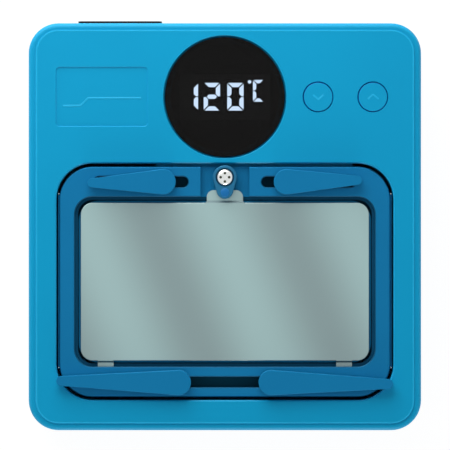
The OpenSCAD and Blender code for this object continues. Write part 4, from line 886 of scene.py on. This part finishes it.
for name, size in screwGroups.items():
    low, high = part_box(name)
    level = low[2] + size["high"] * mm if size["up"] else high[2] - size["high"] * mm
    sites = [(x, y, level) for x, y in screwSites(name, size["head"] * mm)]
    nickel = name == "clip_screw"
    piece = growPiece(name + "_turned", screwTree, {
        "Head radius": size["head"] * mm, "Head height": size["high"] * mm,
        "Shank radius": size["shank"] * mm, "Shank length": high[2] - low[2] - size["high"] * mm,
        "Pitch": threadPitch * mm, "Flip": math.pi if size["up"] else 0.0,
        "Finish": finish["brightNickel" if nickel else "zincPlate"],
        "Recess shade finish": finish["recessPaintedShade"]}, sites)
    shadePiece(piece, "screw")
    placePiece(piece, "case", "bright_nickel" if nickel else "plated_steel", name)
    print(name, len(sites), "screws")

# Raised marks: the line along the panel's edge, a lighter bead that paints the highlight of the panel's
# rounded edge, the stepped line across the pressed field, whose lighter tone is painted highlight too,
# and the chevrons on the keys. Sizes in mm; half the height lies below the face.
marks = {
    # painted highlight: a lighter bead along the panel's rounded edge
    "panel_line": {"body": "case", "level": 27.0, "width": 0.36, "height": 0.05, "bend": 5.64,
                   "closed": True, "points": [(-48.86, -50.87), (48.93, -50.87), (48.93, 50.86),
                                              (-48.86, 50.86)]},
    "field_line": {"body": "case", "level": 26.75, "width": 0.5, "height": 0.14, "bend": 0.2,
                   "closed": False, "points": [(-42.0, 31.4), (-37.5, 31.4), (-35.5, 33.4),
                                               (-21.8, 33.4)]},
    "down_chevron": {"body": "down_key", "level": 27.1, "width": 0.46, "height": 0.07, "bend": 0.25,
                     "closed": False, "points": [(22.85, 34.2), (24.25, 33.0), (25.65, 34.2)]},
    "up_chevron": {"body": "up_key", "level": 27.1, "width": 0.46, "height": 0.07, "bend": 0.25,
                   "closed": False, "points": [(37.15, 33.1), (38.5, 34.3), (39.9, 33.1)]},
}
markSteps = {"bend": 16, "bead": 16}
markTree, given = startTree("raisedLine", {"Width": 1.0, "Height": 1.0, "Bend radius": 1.0,
                                           "Finish": finish["lightAbsAndHighlight"]})
line = addNode(markTree, "GeometryNodeMeshToCurve", {0: given["Geometry"]})
bent = addNode(markTree, "GeometryNodeFilletCurve", {
    "Curve": line, "Count": markSteps["bend"], "Radius": given["Bend radius"]}, mode="POLY")
bead = addNode(markTree, "GeometryNodeCurvePrimitiveCircle", {"Resolution": markSteps["bead"],
                                                              "Radius": 0.5})
beadSize = addNode(markTree, "ShaderNodeCombineXYZ", {"X": given["Width"], "Y": given["Height"],
                                                      "Z": 1.0})
section = addNode(markTree, "GeometryNodeTransform", {"Geometry": bead, "Scale": beadSize})
endTree(markTree, sweptAlong(markTree, bent, section), given["Finish"])
for name, size in marks.items():
    points = [(x * mm, y * mm, size["level"] * mm) for x, y in size["points"]]
    piece = growPiece(name, markTree, {
        "Width": size["width"] * mm, "Height": size["height"] * mm, "Bend radius": size["bend"] * mm,
        "Finish": finish["lightAbsAndHighlight"]}, points, rowEdges(len(points), size["closed"]))
    shadePiece(piece, "swept")
    placePiece(piece, size["body"], "key_plastic" if "chevron" in name else "cover_plastic")
print("raised marks made")
